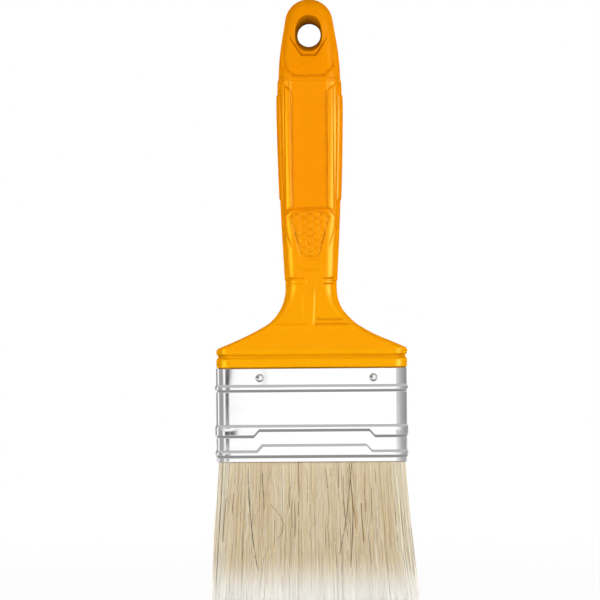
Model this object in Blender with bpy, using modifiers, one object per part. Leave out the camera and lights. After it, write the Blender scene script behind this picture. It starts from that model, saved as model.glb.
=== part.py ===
"""A 75 mm flat paint brush: moulded handle, beaded tinplate ferrule, nails, resin, spacers and bristle.

Metres, +Z up. The brush stands on its trimmed bristle ends with the handle up, its width along X and its
front towards -Y. The origin is the middle of the bristle ends.
"""

import math

import bmesh
import bpy

MM = 0.001

# Fit: the gap between pieces that touch, and how far a cutter reaches past a surface
FIT = 0.3 * MM
OVERRUN = 1.5 * MM

# Ferrule
FERRULE_WIDTH = 75.0 * MM
FERRULE_DEPTH = 16.0 * MM
FERRULE_HEIGHT = 36.8 * MM
CORNER_RADIUS = 5.2 * MM
SHEET = 0.4 * MM
SEAM_WIDTH = 3.6 * MM
SEAM_PROUD = 0.3 * MM
BEAD_PROUD = 0.45 * MM
BEAD_SLOPE = 0.9 * MM
MOUTH_LAND = 1.6 * MM
LOW_BEAD_HEIGHT = 3.2 * MM
VALLEY_HEIGHT = 4.7 * MM
MIDDLE_BEAD_HEIGHT = 5.3 * MM
TOP_BEAD_HEIGHT = 3.1 * MM
RIM_LAND = 6.3 * MM
JOG_RISE = 2.4 * MM
JOG_LOW_WIDTH = 41.0 * MM
JOG_HIGH_WIDTH = 43.4 * MM
JOG_RUN = 2.1 * MM
JOG_OFFSET = 1.1 * MM

# Nails
NAIL_SPACING = 44.7 * MM
NAIL_OFFSET = 2.1 * MM
NAIL_DROP = 3.7 * MM
NAIL_HEAD_DIAMETER = 3.3 * MM
NAIL_HEAD_HEIGHT = 0.6 * MM
NAIL_HEAD_EDGE = 0.2 * MM
NAIL_DIAMETER = 1.4 * MM
NAIL_LENGTH = 5.0 * MM
NAIL_POINT = 1.5 * MM

# Bristle, resin and spacers
BRISTLE_FREE_LENGTH = 54.6 * MM
BRISTLE_FLARE_X = 3.7 * MM
BRISTLE_FLARE_Y = 0.5 * MM
BANK_CLOSING_LENGTH = 24.0 * MM
RESIN_THICKNESS = 3.0 * MM
RESIN_FIN = 3.0 * MM
SPACER_THICKNESS = 2.0 * MM
SPACER_INSET = 6.0 * MM
SPACER_SETBACK = 2.0 * MM
SPACER_EDGE = 0.3 * MM

# Handle: heights of its stretches, from the head up
TENON_LENGTH = 12.0 * MM
BAND_HEIGHT = 6.1 * MM
SHOULDER_RISE = 10.9 * MM
NECK_LENGTH = 17.6 * MM
COLLAR_LENGTH = 27.8 * MM
GRIP_LENGTH = 51.2 * MM
BUTT_LENGTH = 31.4 * MM

# Handle: outline from the front
BAND_GROOVE_HEIGHT = 4.3 * MM
BAND_GROOVE_WIDTH = 2.0 * MM
BAND_GROOVE_FLOOR = 0.8 * MM
BAND_GROOVE_DEPTH = 0.3 * MM
SHOULDER_CORNER_RADIUS = 1.8 * MM
SHOULDER_CORNER_TURN = 64.0
SHOULDER_SAG = 1.1 * MM
SHOULDER_EDGE_RADIUS = 2.8 * MM
NECK_WIDTH = 20.1 * MM
FLARE_RADIUS = 17.6 * MM
FLARE_HEIGHT = 14.0 * MM
COLLAR_STEP = 0.3 * MM
COLLAR_TOP_WIDTH = 23.4 * MM
GRIP_WIDTH = 25.3 * MM
GRIP_WIDEST_HEIGHT = 36.0 * MM
CROWN_WIDTH = 24.9 * MM
CROWN_STEP = 0.33 * MM
BUTT_RADIUS = 9.4 * MM
BUTT_TAPER = 8.0
PAD_PROUD = 0.35 * MM
PAD_LOW_END = 3.6 * MM
PAD_TOP_END = 6.8 * MM
PAD_TURN = 50.0
STEP_RAMP = 0.4 * MM

# Handle: depths from the side
SHOULDER_SETBACK = 0.9 * MM
NECK_DEPTH = 13.0 * MM
GRIP_DEPTH = 15.6 * MM
CROWN_DEPTH = 14.4 * MM
BUTT_DEPTH = 11.4 * MM
BUTT_ROUND = 5.0 * MM

# Handle: panels sunk into its front and back
PANEL_DEPTH = 0.55 * MM
PANEL_LAND = 1.2 * MM
CHANNEL_WIDTH = 14.0 * MM
SHIELD_LENGTH = 17.8 * MM
SHIELD_TOP_WIDTH = 11.4 * MM
SHIELD_WIDTH = 15.6 * MM
SHIELD_LOW_WIDTH = 7.2 * MM
SHIELD_CORNER = 2.3 * MM
SPINE_WIDTH = 1.8 * MM
SPINE_TOP_WIDTH = 8.0 * MM
SPINE_FUNNEL = 6.0 * MM
NECK_PANEL_DEPTH = 0.5 * MM
NECK_PANEL_LAND = 0.6 * MM

# Handle: tray above the crown step, with its lower corners cut off
TRAY_LAND = 0.6 * MM
TRAY_LOW_WIDTH = 11.8 * MM
TRAY_WIDTH = 21.0 * MM
TRAY_CHEVRON = 3.9 * MM
TRAY_HEIGHT = 13.0 * MM
TRAY_DEPTH = 0.45 * MM

# Handle: hanging hole and the six-sided recess round it
HOLE_DIAMETER = 9.3 * MM
HOLE_DROP = 14.25 * MM
HOLE_WAIST = 5.0 * MM
HOLE_MOUTH_WIDTH = 11.2 * MM
HOLE_MOUTH_HEIGHT = 15.0 * MM
HEX_WIDTH = 14.6 * MM
HEX_HEIGHT = 15.8 * MM
HEX_FLAT = 5.7 * MM
HEX_CORNER_RISE = 1.2 * MM
HEX_DEPTH = 0.5 * MM

# Handle: hollows moulded into the tenon and head
CORE_WALL = 3.0 * MM
CORE_RIB = 3.0 * MM
CORE_NAIL_WALL = 4.0 * MM
CORE_HEIGHT = 19.0 * MM
TENON_LEAD_IN = 0.8 * MM

# Facets, how much of a thin section its round corners may take up, and the edges shaded as round
CORNER_STEPS = 6
ARC_STEPS = 6
GRIP_STEPS = 15
DEPTH_STEPS = 5
ROUND_STEPS = 28
NAIL_STEPS = 16
DOME_STEPS = 4
ROUND_LIMIT = 0.9
SMOOTH_BELOW = math.radians(32)

# Levels above the bristle ends
MOUTH_LEVEL = BRISTLE_FREE_LENGTH
RIM_LEVEL = MOUTH_LEVEL + FERRULE_HEIGHT
HEAD_LEVEL = RIM_LEVEL + FIT
RESIN_TOP_LEVEL = HEAD_LEVEL - TENON_LENGTH - FIT
RESIN_LOW_LEVEL = RESIN_TOP_LEVEL - RESIN_THICKNESS
BUTT_END_LEVEL = RESIN_LOW_LEVEL - FIT
SPACER_TOP_LEVEL = RESIN_LOW_LEVEL - RESIN_FIN - FIT
SPACER_LOW_LEVEL = MOUTH_LEVEL + SPACER_SETBACK
NAIL_LEVEL = RIM_LEVEL - NAIL_DROP

# Heights up the handle, from the head's lower edge
SHOULDER_TOP = BAND_HEIGHT + SHOULDER_RISE
FLARE_TOP = SHOULDER_TOP + FLARE_HEIGHT
COLLAR = SHOULDER_TOP + NECK_LENGTH
GRIP = COLLAR + COLLAR_LENGTH
CROWN = GRIP + GRIP_LENGTH
HANDLE_TOP = CROWN + BUTT_LENGTH
HOLE_HEIGHT = HANDLE_TOP - HOLE_DROP

# The space inside the ferrule, less the gap round what fills it
CORE_INSET = SHEET + FIT
INNER_HALF_X = FERRULE_WIDTH / 2 - CORE_INSET
INNER_HALF_Y = FERRULE_DEPTH / 2 - CORE_INSET
INNER_RADIUS = CORNER_RADIUS - CORE_INSET
BANK_GAP = SPACER_THICKNESS + 2 * FIT
BANK_THICKNESS = (2 * INNER_HALF_Y - 2 * BANK_GAP) / 3
SPACER_PLACE = BANK_THICKNESS / 2 + BANK_GAP / 2
SPACER_HALF_X = INNER_HALF_X - SPACER_INSET


def clear_scene():
    for obj in list(bpy.data.objects):
        bpy.data.objects.remove(obj)


def new_collection(name):
    made = bpy.data.collections.new(name)
    bpy.context.scene.collection.children.link(made)
    return made


def new_material(name, colour, roughness, metallic=0.0):
    material = bpy.data.materials.new(name)
    material.use_nodes = True
    shader = material.node_tree.nodes["Principled BSDF"]
    shader.inputs["Base Color"].default_value = (*colour, 1.0)
    shader.inputs["Roughness"].default_value = roughness
    shader.inputs["Metallic"].default_value = metallic
    return material


def new_object(name, shape, home, material=None):
    """An object made from a bmesh, which it uses up, with its round sides shaded smooth."""
    mesh = bpy.data.meshes.new(name)
    shape.to_mesh(mesh)
    shape.free()
    mesh.shade_smooth()
    mesh.set_sharp_from_angle(angle=SMOOTH_BELOW)
    if material:
        mesh.materials.append(material)
    obj = bpy.data.objects.new(name, mesh)
    home.objects.link(obj)
    return obj


def new_cutter(name, shape, carrier=None):
    """A helper that cuts or joins, placed with the piece that carries it."""
    cutter = new_object(name, shape, cutters)
    cutter.hide_render = True
    cutter.display_type = "WIRE"
    cutter.parent = carrier
    return cutter


def boolean(target, cutter, operation="DIFFERENCE"):
    modifier = target.modifiers.new(cutter.name, "BOOLEAN")
    modifier.operation = operation
    modifier.object = cutter


def loft(rings, capped=True):
    """A bmesh skinned over rings of points that run round the same way."""
    shape = bmesh.new()
    loops = [[shape.verts.new(point) for point in ring] for ring in rings]
    for lower, upper in zip(loops, loops[1:]):
        for i in range(len(lower)):
            j = (i + 1) % len(lower)
            shape.faces.new((lower[i], lower[j], upper[j], upper[i]))
    if capped:
        shape.faces.new(loops[0])
        shape.faces.new(loops[-1])
        bmesh.ops.recalc_face_normals(shape, faces=shape.faces)
    return shape


def box(size_x, size_y, size_z):
    shape = bmesh.new()
    bmesh.ops.create_cube(shape, size=1.0)
    bmesh.ops.scale(shape, vec=(size_x, size_y, size_z), verts=shape.verts)
    return shape


def rounded_outline(half_x, half_y, radius, stops=(), seam=()):
    """(x, y) round a rectangle with round corners, from the front edge round by the right.

    stops are further places along the front and back, and seam is points on the left side.
    """
    points = [(x, -half_y) for x in stops]
    for side_x, side_y, start in ((1, -1, -90), (1, 1, 0), (-1, 1, 90), (-1, -1, 180)):
        if side_x < 0 < side_y:
            points += [(x, half_y) for x in reversed(stops)]
        if side_x < 0 and side_y < 0:
            points += seam
        for step in range(CORNER_STEPS + 1):
            angle = math.radians(start + 90 * step / CORNER_STEPS)
            x = side_x * (half_x - radius) + radius * math.cos(angle)
            y = side_y * (half_y - radius) + radius * math.sin(angle)
            points.append((x, y))
    return points


def smooth(stations, height):
    """The value at a height on a smooth curve through (height, value) stations."""
    last = len(stations) - 1

    def slope(i):
        low, high = stations[max(i - 1, 0)], stations[min(i + 1, last)]
        return (high[1] - low[1]) / (high[0] - low[0])

    if height <= stations[0][0]:
        return stations[0][1]
    for i in range(last):
        (start, first), (end, second) = stations[i], stations[i + 1]
        if height <= end:
            span = end - start
            t = (height - start) / span
            rise = t * t * (3 - 2 * t)
            bend = t * (1 - t) * ((1 - t) * slope(i) - t * slope(i + 1))
            return first + (second - first) * rise + span * bend
    return stations[last][1]


def butt_arc_start():
    """Height and half width where the tapered sides run into the round butt."""
    taper = math.radians(BUTT_TAPER)
    height = HANDLE_TOP - BUTT_RADIUS + BUTT_RADIUS * math.sin(taper)
    return height, BUTT_RADIUS * math.cos(taper)


def grip_half_width(height):
    arc_height, arc_half_width = butt_arc_start()
    return smooth(
        (
            (COLLAR, NECK_WIDTH / 2 + COLLAR_STEP),
            (GRIP, COLLAR_TOP_WIDTH / 2),
            (GRIP + GRIP_WIDEST_HEIGHT, GRIP_WIDTH / 2),
            (CROWN, CROWN_WIDTH / 2),
            (arc_height, arc_half_width + CROWN_STEP),
        ),
        height,
    )


def handle_half_depth(height):
    half = smooth(
        (
            (BAND_HEIGHT, FERRULE_DEPTH / 2),
            (SHOULDER_TOP, FERRULE_DEPTH / 2 - SHOULDER_SETBACK),
            (FLARE_TOP, NECK_DEPTH / 2),
            (GRIP + GRIP_WIDEST_HEIGHT, GRIP_DEPTH / 2),
            (CROWN, CROWN_DEPTH / 2),
            (HANDLE_TOP, BUTT_DEPTH / 2),
        ),
        height,
    )
    into_round = max(0.0, height - (HANDLE_TOP - BUTT_ROUND)) / BUTT_ROUND
    return half * math.sqrt(max(0.0, 1 - into_round**2))


def head_levels():
    """(height, half width, inset) up the head's band and round its shoulder corner."""
    half = FERRULE_WIDTH / 2
    levels = [(0.0, half, 0.0)]
    brink, floor = BAND_GROOVE_WIDTH / 2, BAND_GROOVE_FLOOR / 2
    for rise, inset in ((-brink, 0.0), (-floor, BAND_GROOVE_DEPTH), (floor, BAND_GROOVE_DEPTH), (brink, 0.0)):
        levels.append((BAND_GROOVE_HEIGHT + rise, half, inset))
    for step in range(ARC_STEPS + 1):
        angle = math.radians(SHOULDER_CORNER_TURN * step / ARC_STEPS)
        half_width = half - SHOULDER_CORNER_RADIUS * (1 - math.cos(angle))
        levels.append((BAND_HEIGHT + SHOULDER_CORNER_RADIUS * math.sin(angle), half_width, 0.0))
    return levels


def neck_levels(start):
    """(height, half width, inset) up the sagging shoulder slope and the hollow flare of the neck."""
    low_height, low_half, _ = start
    reach = math.sqrt(FLARE_RADIUS**2 - FLARE_HEIGHT**2)
    flare_half = NECK_WIDTH / 2 + FLARE_RADIUS - reach
    levels = []
    for step in range(1, ARC_STEPS):
        t = step / ARC_STEPS
        half_width = low_half + (flare_half - low_half) * t - SHOULDER_SAG * 4 * t * (1 - t)
        levels.append((low_height + (SHOULDER_TOP - low_height) * t, half_width, 0.0))
    for step in range(ARC_STEPS + 1):
        below = FLARE_HEIGHT * (1 - step / ARC_STEPS)
        half_width = NECK_WIDTH / 2 + FLARE_RADIUS - math.sqrt(FLARE_RADIUS**2 - below**2)
        levels.append((FLARE_TOP - below, half_width, 0.0))
    levels.append((COLLAR - STEP_RAMP, NECK_WIDTH / 2, 0.0))
    return levels


def grip_levels():
    """(height, half width, inset) from the collar over the grip and the crown step to the round butt."""
    arc_height, _ = butt_arc_start()
    pad_low = GRIP + PAD_LOW_END
    pad_top = CROWN - PAD_TOP_END
    heights = [COLLAR + (CROWN - COLLAR) * step / GRIP_STEPS for step in range(GRIP_STEPS + 1)]
    heights += [pad_low, pad_low + STEP_RAMP, pad_top - STEP_RAMP, pad_top]
    levels = [(height, grip_half_width(height), 0.0) for height in sorted(heights)]
    taper_start = CROWN + STEP_RAMP
    for step in range(ARC_STEPS):
        height = taper_start + (arc_height - taper_start) * step / ARC_STEPS
        levels.append((height, grip_half_width(height), CROWN_STEP))
    for step in range(2 * ARC_STEPS):
        angle = math.radians(BUTT_TAPER + (90 - BUTT_TAPER) * step / (2 * ARC_STEPS))
        height = HANDLE_TOP - BUTT_RADIUS * (1 - math.sin(angle))
        levels.append((height, BUTT_RADIUS * math.cos(angle) + CROWN_STEP, CROWN_STEP))
    return levels


def edge_radius(height):
    """Round of the long edges at a height: tighter over the shoulders than on the band and the grip."""
    tight = SHOULDER_EDGE_RADIUS
    return smooth(
        (
            (BAND_HEIGHT, CORNER_RADIUS),
            (BAND_HEIGHT + SHOULDER_CORNER_RADIUS, (CORNER_RADIUS + tight) / 2),
            (BAND_HEIGHT + SHOULDER_RISE / 2, tight),
            (SHOULDER_TOP, tight),
            (FLARE_TOP, CORNER_RADIUS),
        ),
        height,
    )


def handle_ring(height, half_width, inset):
    """A section of the handle, whose sides stand proud between the ends of the grip pads."""
    half_x = half_width - inset
    half_y = handle_half_depth(height) - inset
    radius = min(edge_radius(height), ROUND_LIMIT * min(half_x, half_y))
    on_pad = GRIP + PAD_LOW_END < height < CROWN - PAD_TOP_END
    pad_edge = half_x - radius * (1 - math.sin(math.radians(PAD_TURN)))
    ring = []
    for x, y in rounded_outline(half_x, half_y, radius):
        if on_pad and abs(x) > pad_edge:
            x += math.copysign(PAD_PROUD, x)
        ring.append((x, y, height))
    return ring


def tenon_rings():
    """Sections of the tenon, up to the ledge under the head."""
    rings = []
    for height, inset in ((-TENON_LENGTH, TENON_LEAD_IN), (TENON_LEAD_IN - TENON_LENGTH, 0.0), (0.0, 0.0)):
        radius = INNER_RADIUS - inset
        outline = rounded_outline(INNER_HALF_X - inset, INNER_HALF_Y - inset, radius)
        rings.append([(x, y, height) for x, y in outline])
    return rings


def panel_cutter(name, side, edges, depth, carrier):
    """A cutter that sinks a panel with sloping walls into the front (side -1) or the back (side 1).

    edges gives (height, left, right) of the panel where it meets the surface, from its lower end up.
    """
    low, high = edges[0], edges[-1]
    stations = [(low[0] - OVERRUN, low[1], low[2], -OVERRUN)]
    stations.append((low[0] + depth, low[1], low[2], depth))
    stations += [(height, left, right, depth) for height, left, right in edges[1:-1]]
    stations.append((high[0] - depth, high[1], high[2], depth))
    stations.append((high[0] + OVERRUN, high[1], high[2], -OVERRUN))
    rings = []
    for height, left, right, sunk in stations:
        surface = handle_half_depth(height)
        outer = side * (surface + 2 * OVERRUN)
        floor = side * (surface - sunk)
        widen = 2 * OVERRUN
        rings.append(
            [
                (left - widen, outer, height),
                (right + widen, outer, height),
                (right - sunk, floor, height),
                (left + sunk, floor, height),
            ]
        )
    return new_cutter(name, loft(rings), carrier)


def channel_edges():
    """The long panel along the grip."""
    half = CHANNEL_WIDTH / 2
    low = GRIP + PANEL_LAND / 2
    high = CROWN - PANEL_LAND
    heights = [low + (high - low) * step / ARC_STEPS for step in range(ARC_STEPS + 1)]
    return [(height, -half, half) for height in heights]


def shield_edges():
    """The tapered panel below the long one, with its upper corners cut off."""
    high = GRIP - PANEL_LAND
    corner = high - SHIELD_CORNER
    low = high - SHIELD_LENGTH
    outline = [(low, SHIELD_LOW_WIDTH)]
    for step in range(1, 3):
        t = step / 3
        width = SHIELD_LOW_WIDTH + (SHIELD_WIDTH - SHIELD_LOW_WIDTH) * t
        outline.append((low + (corner - low) * t, width))
    outline += [(corner, SHIELD_WIDTH), (high, SHIELD_TOP_WIDTH)]
    return [(height, -width / 2, width / 2) for height, width in outline]


def neck_edges(hand):
    """The hollow beside the neck's spine, on the left (hand -1) or right (hand 1), open at the outer side."""
    low = SHOULDER_TOP + NECK_PANEL_LAND
    high = COLLAR - STEP_RAMP
    funnel = high - SPINE_FUNNEL
    outer = FERRULE_WIDTH / 2
    stations = [(low, SPINE_WIDTH), ((low + funnel) / 2, SPINE_WIDTH), (funnel, SPINE_WIDTH)]
    stations.append((high, SPINE_TOP_WIDTH))
    if hand < 0:
        return [(height, -outer, -width / 2) for height, width in stations]
    return [(height, width / 2, outer) for height, width in stations]


def hole_cutter(carrier):
    """The hanging hole: round at its waist, and opening to an upright oval at each face."""
    surface = handle_half_depth(HOLE_HEIGHT)
    bore = HOLE_DIAMETER / 2
    waist = HOLE_WAIST / 2
    past = surface + OVERRUN
    grow = (past - waist) / (surface - waist)
    half_x = bore + (HOLE_MOUTH_WIDTH / 2 - bore) * grow
    half_z = bore + (HOLE_MOUTH_HEIGHT / 2 - bore) * grow
    rings = []
    sections = ((-past, half_x, half_z), (-waist, bore, bore), (waist, bore, bore), (past, half_x, half_z))
    for place, size_x, size_z in sections:
        ring = []
        for step in range(ROUND_STEPS):
            angle = 2 * math.pi * step / ROUND_STEPS
            ring.append((size_x * math.sin(angle), place, HOLE_HEIGHT + size_z * math.cos(angle)))
        rings.append(ring)
    return new_cutter("hanging_hole", loft(rings), carrier)


def flat_cutter(name, side, right_edge, depth, carrier):
    """A cutter for a flat-floored recess, which fades out upwards as the handle thins to its butt.

    right_edge gives (half width, height) of the recess from its lower end up, and the left is its mirror.
    depth is the recess at the lower end.
    """
    surface = handle_half_depth(right_edge[0][1])
    outline = right_edge + [(-half, height) for half, height in reversed(right_edge)]
    rings = [[(x, side * y, height) for x, height in outline] for y in (surface - depth, surface + OVERRUN)]
    return new_cutter(name, loft(rings), carrier)


def tray_edge():
    """The right edge of the tray, from its lower corner cut off at a slant up to where it fades."""
    low = CROWN + TRAY_LAND
    wide = TRAY_WIDTH / 2
    return [(TRAY_LOW_WIDTH / 2, low), (wide, low + TRAY_CHEVRON), (wide, low + TRAY_HEIGHT)]


def hex_edge():
    """The right edge of the six-sided recess round the hole."""
    wide = HEX_WIDTH / 2
    flat = HEX_FLAT / 2
    rise = HEX_HEIGHT / 2
    corners = ((flat, -rise), (wide, -HEX_CORNER_RISE), (wide, HEX_CORNER_RISE), (flat, rise))
    return [(half, HOLE_HEIGHT + up) for half, up in corners]


def core_cutter(name, left, right, carrier):
    """A hollow in the tenon and head, open at the tenon's end, between two upright walls."""
    hollow_half_y = INNER_HALF_Y - CORE_WALL
    cutter = new_cutter(name, box(right - left, 2 * hollow_half_y, CORE_HEIGHT + OVERRUN), carrier)
    cutter.location = ((left + right) / 2, 0.0, (CORE_HEIGHT - OVERRUN) / 2 - TENON_LENGTH)
    return cutter


def make_handle(nail_cutters):
    rings = tenon_rings()
    head = head_levels()
    for level in head + neck_levels(head[-1]) + grip_levels():
        rings.append(handle_ring(*level))
    plastic = new_material("orange_plastic", (0.89, 0.32, 0.003), 0.42)
    handle = new_object("handle", loft(rings), parts, plastic)
    handle.location.z = HEAD_LEVEL
    cuts = [hole_cutter(handle)]
    for side, face in ((-1, "front"), (1, "back")):
        cuts.append(flat_cutter("tray_" + face, side, tray_edge(), CROWN_STEP + TRAY_DEPTH, handle))
        cuts.append(flat_cutter("hex_recess_" + face, side, hex_edge(), CROWN_STEP + HEX_DEPTH, handle))
        cuts.append(panel_cutter("channel_" + face, side, channel_edges(), PANEL_DEPTH, handle))
        cuts.append(panel_cutter("shield_" + face, side, shield_edges(), PANEL_DEPTH, handle))
        for hand, name in ((-1, "left"), (1, "right")):
            edges = neck_edges(hand)
            cuts.append(panel_cutter(f"neck_{face}_{name}", side, edges, NECK_PANEL_DEPTH, handle))
    left_nail, right_nail = nail_places()
    rib = CORE_RIB / 2
    cuts.append(core_cutter("core_left", left_nail + CORE_NAIL_WALL, -rib, handle))
    cuts.append(core_cutter("core_right", rib, right_nail - CORE_NAIL_WALL, handle))
    for cutter in cuts + nail_cutters:
        boolean(handle, cutter)


def jog(x, width):
    """How far a bead's edge is raised at this place across the ferrule: in full over its middle."""
    return JOG_RISE * min(1.0, max(0.0, (width / 2 + JOG_RUN - abs(x - JOG_OFFSET)) / JOG_RUN))


def ferrule_levels():
    """(height, proud, jog width) of each fold line up the ferrule, from its mouth to its rim."""
    levels = [(0.0, 0.0, None)]
    height = MOUTH_LAND

    def edge(foot_first, jog_width=None):
        first, second = (0.0, BEAD_PROUD) if foot_first else (BEAD_PROUD, 0.0)
        levels.append((height, first, jog_width))
        levels.append((height + BEAD_SLOPE, second, jog_width))

    edge(True)
    height += LOW_BEAD_HEIGHT - BEAD_SLOPE
    edge(False, JOG_LOW_WIDTH)
    height += BEAD_SLOPE + VALLEY_HEIGHT
    edge(True, JOG_HIGH_WIDTH)
    height += MIDDLE_BEAD_HEIGHT - BEAD_SLOPE
    edge(False)
    height = FERRULE_HEIGHT - RIM_LAND - TOP_BEAD_HEIGHT
    edge(True)
    height = FERRULE_HEIGHT - RIM_LAND - BEAD_SLOPE
    edge(False)
    levels.append((FERRULE_HEIGHT, 0.0, None))
    return levels


def ferrule_ring(height, proud, jog_width):
    """One fold line round the ferrule, raised in the middle of the front and back where it jogs."""
    half_x = FERRULE_WIDTH / 2 + proud
    half_y = FERRULE_DEPTH / 2 + proud
    ends = sorted(width / 2 + run for width in (JOG_LOW_WIDTH, JOG_HIGH_WIDTH) for run in (0.0, JOG_RUN))
    stops = [JOG_OFFSET - end for end in reversed(ends)] + [JOG_OFFSET + end for end in ends]
    foot, top = SEAM_WIDTH / 2, SEAM_WIDTH / 2 - SEAM_PROUD
    seam = [(-half_x, foot), (-half_x - SEAM_PROUD, top), (-half_x - SEAM_PROUD, -top), (-half_x, -foot)]
    ring = []
    for x, y in rounded_outline(half_x, half_y, CORNER_RADIUS + proud, stops, seam):
        rise = jog(x, jog_width) if jog_width else 0.0
        ring.append((x, y, height + rise))
    return ring


def make_ferrule(nail_cutters):
    rings = [ferrule_ring(*level) for level in ferrule_levels()]
    tin = new_material("tinplate", (0.80, 0.80, 0.80), 0.22, 1.0)
    ferrule = new_object("ferrule", loft(rings, capped=False), parts, tin)
    ferrule.location.z = MOUTH_LEVEL
    sheet = ferrule.modifiers.new("sheet", "SOLIDIFY")
    sheet.thickness = SHEET
    sheet.offset = -1.0
    sheet.use_even_offset = True
    for cutter in nail_cutters:
        boolean(ferrule, cutter)


def nail_places():
    """Places of the left and right nail across the brush."""
    return NAIL_OFFSET - NAIL_SPACING / 2, NAIL_OFFSET + NAIL_SPACING / 2


def nail_seats():
    """(name, place, turn) of each nail, turned so that its own +Z points out of its face."""
    seats = []
    for face, side in (("front", -1), ("back", 1)):
        for hand, x in zip(("left", "right"), nail_places()):
            place = (x, side * (FERRULE_DEPTH / 2 + FIT), NAIL_LEVEL)
            seats.append((f"nail_{face}_{hand}", place, -side * math.pi / 2))
    return seats


def nail_profile():
    """(radius, height) down a nail, from its domed head to its point. Height 0 is under the head."""
    head_radius = NAIL_HEAD_DIAMETER / 2
    profile = []
    dome = NAIL_HEAD_HEIGHT - NAIL_HEAD_EDGE
    for step in range(DOME_STEPS + 1):
        angle = math.radians(90 * step / DOME_STEPS)
        profile.append((head_radius * math.sin(angle), NAIL_HEAD_EDGE + dome * math.cos(angle)))
    shank = NAIL_DIAMETER / 2
    profile += [(head_radius, 0.0), (shank, 0.0), (shank, NAIL_POINT - NAIL_LENGTH), (0.0, -NAIL_LENGTH)]
    return profile


def make_nails():
    steel = new_material("nail_steel", (0.62, 0.62, 0.62), 0.3, 1.0)
    for name, place, turn in nail_seats():
        shape = bmesh.new()
        points = [shape.verts.new((radius, 0.0, height)) for radius, height in nail_profile()]
        for start, end in zip(points, points[1:]):
            shape.edges.new((start, end))
        nail = new_object(name, shape, parts, steel)
        nail.location = place
        nail.rotation_euler.x = turn
        turned = nail.modifiers.new("turned", "SCREW")
        turned.steps = NAIL_STEPS
        turned.render_steps = NAIL_STEPS
        turned.use_merge_vertices = True
        turned.merge_threshold = 0.01 * MM


def make_nail_cutters():
    """A round hole for each nail's shank, through the sheet and into the tenon."""
    made = []
    for name, place, turn in nail_seats():
        shape = bmesh.new()
        radius = NAIL_DIAMETER / 2 + FIT
        depth = NAIL_LENGTH + FIT + OVERRUN
        bmesh.ops.create_cone(
            shape, cap_ends=True, segments=NAIL_STEPS, radius1=radius, radius2=radius, depth=depth
        )
        bmesh.ops.translate(shape, vec=(0.0, 0.0, OVERRUN - depth / 2), verts=shape.verts)
        cutter = new_cutter("hole_for_" + name, shape)
        cutter.location = place
        cutter.rotation_euler.x = turn
        made.append(cutter)
    return made


def make_resin():
    """A slab over the butts of the bristle, which has run down between the banks onto each spacer."""
    rings = []
    for height in (RESIN_LOW_LEVEL, RESIN_TOP_LEVEL):
        outline = rounded_outline(INNER_HALF_X, INNER_HALF_Y, INNER_RADIUS)
        rings.append([(x, y, height) for x, y in outline])
    amber = new_material("amber_resin", (0.55, 0.30, 0.08), 0.25)
    resin = new_object("resin_setting", loft(rings), parts, amber)
    overlap = RESIN_THICKNESS / 2
    for side, face in ((-1, "front"), (1, "back")):
        fin = new_cutter("resin_fin_" + face, box(2 * SPACER_HALF_X, SPACER_THICKNESS, RESIN_FIN + overlap))
        fin.location = (0.0, side * SPACER_PLACE, RESIN_LOW_LEVEL + (overlap - RESIN_FIN) / 2)
        boolean(resin, fin, "UNION")


def make_spacers():
    wood = new_material("spacer_wood", (0.62, 0.44, 0.26), 0.75)
    height = SPACER_TOP_LEVEL - SPACER_LOW_LEVEL
    for side, face in ((-1, "front"), (1, "back")):
        shape = box(2 * SPACER_HALF_X, SPACER_THICKNESS, height)
        spacer = new_object("spacer_" + face, shape, parts, wood)
        spacer.location = (0.0, side * SPACER_PLACE, SPACER_LOW_LEVEL + height / 2)
        edges = spacer.modifiers.new("edges", "BEVEL")
        edges.width = SPACER_EDGE
        edges.segments = 1


def pack_at(level):
    """Half width, half depth, the place of the parting between two banks, and half its gap, at a level."""
    flare = max(0.0, 1 - level / MOUTH_LEVEL)
    half_x = INNER_HALF_X + BRISTLE_FLARE_X * flare
    half_y = INNER_HALF_Y + BRISTLE_FLARE_Y * flare
    parted = min(1.0, max(0.0, 1 - (SPACER_LOW_LEVEL - level) / BANK_CLOSING_LENGTH))
    place = half_y / 3 + (SPACER_PLACE - half_y / 3) * parted
    half_gap = FIT / 2 + (BANK_GAP - FIT) / 2 * parted
    return half_x, half_y, place, half_gap


def side_edge(low, high, level):
    """Points along the pack's right side at a level, from one depth to another, round the corners."""
    half_x, half_y, _, _ = pack_at(level)
    points = []
    for step in range(DEPTH_STEPS + 1):
        y = low + (high - low) * step / DEPTH_STEPS
        into_corner = max(0.0, abs(y) - (half_y - INNER_RADIUS))
        x = half_x - INNER_RADIUS + math.sqrt(max(0.0, INNER_RADIUS**2 - into_corner**2))
        points.append((x, y, level))
    return points


def bank_ring(level, bank):
    """A section of the front (-1), middle (0) or back (1) bank, notched for the spacers."""
    _, half_y, place, half_gap = pack_at(level)
    notch = SPACER_HALF_X + FIT
    closed = notch + BANK_GAP
    parting = ((-closed, FIT / 2), (-notch, half_gap), (notch, half_gap), (closed, FIT / 2))
    low, high = -half_y, half_y
    front_edge, back_edge = [], []
    if bank >= 0:
        line = (2 * bank - 1) * place
        low = line + FIT / 2
        front_edge = [(x, line + gap, level) for x, gap in parting]
    if bank <= 0:
        line = (2 * bank + 1) * place
        high = line - FIT / 2
        back_edge = [(x, line - gap, level) for x, gap in reversed(parting)]
    right_edge = side_edge(low, high, level)
    left_edge = [(-x, y, z) for x, y, z in reversed(right_edge)]
    return front_edge + right_edge + back_edge + left_edge


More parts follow.
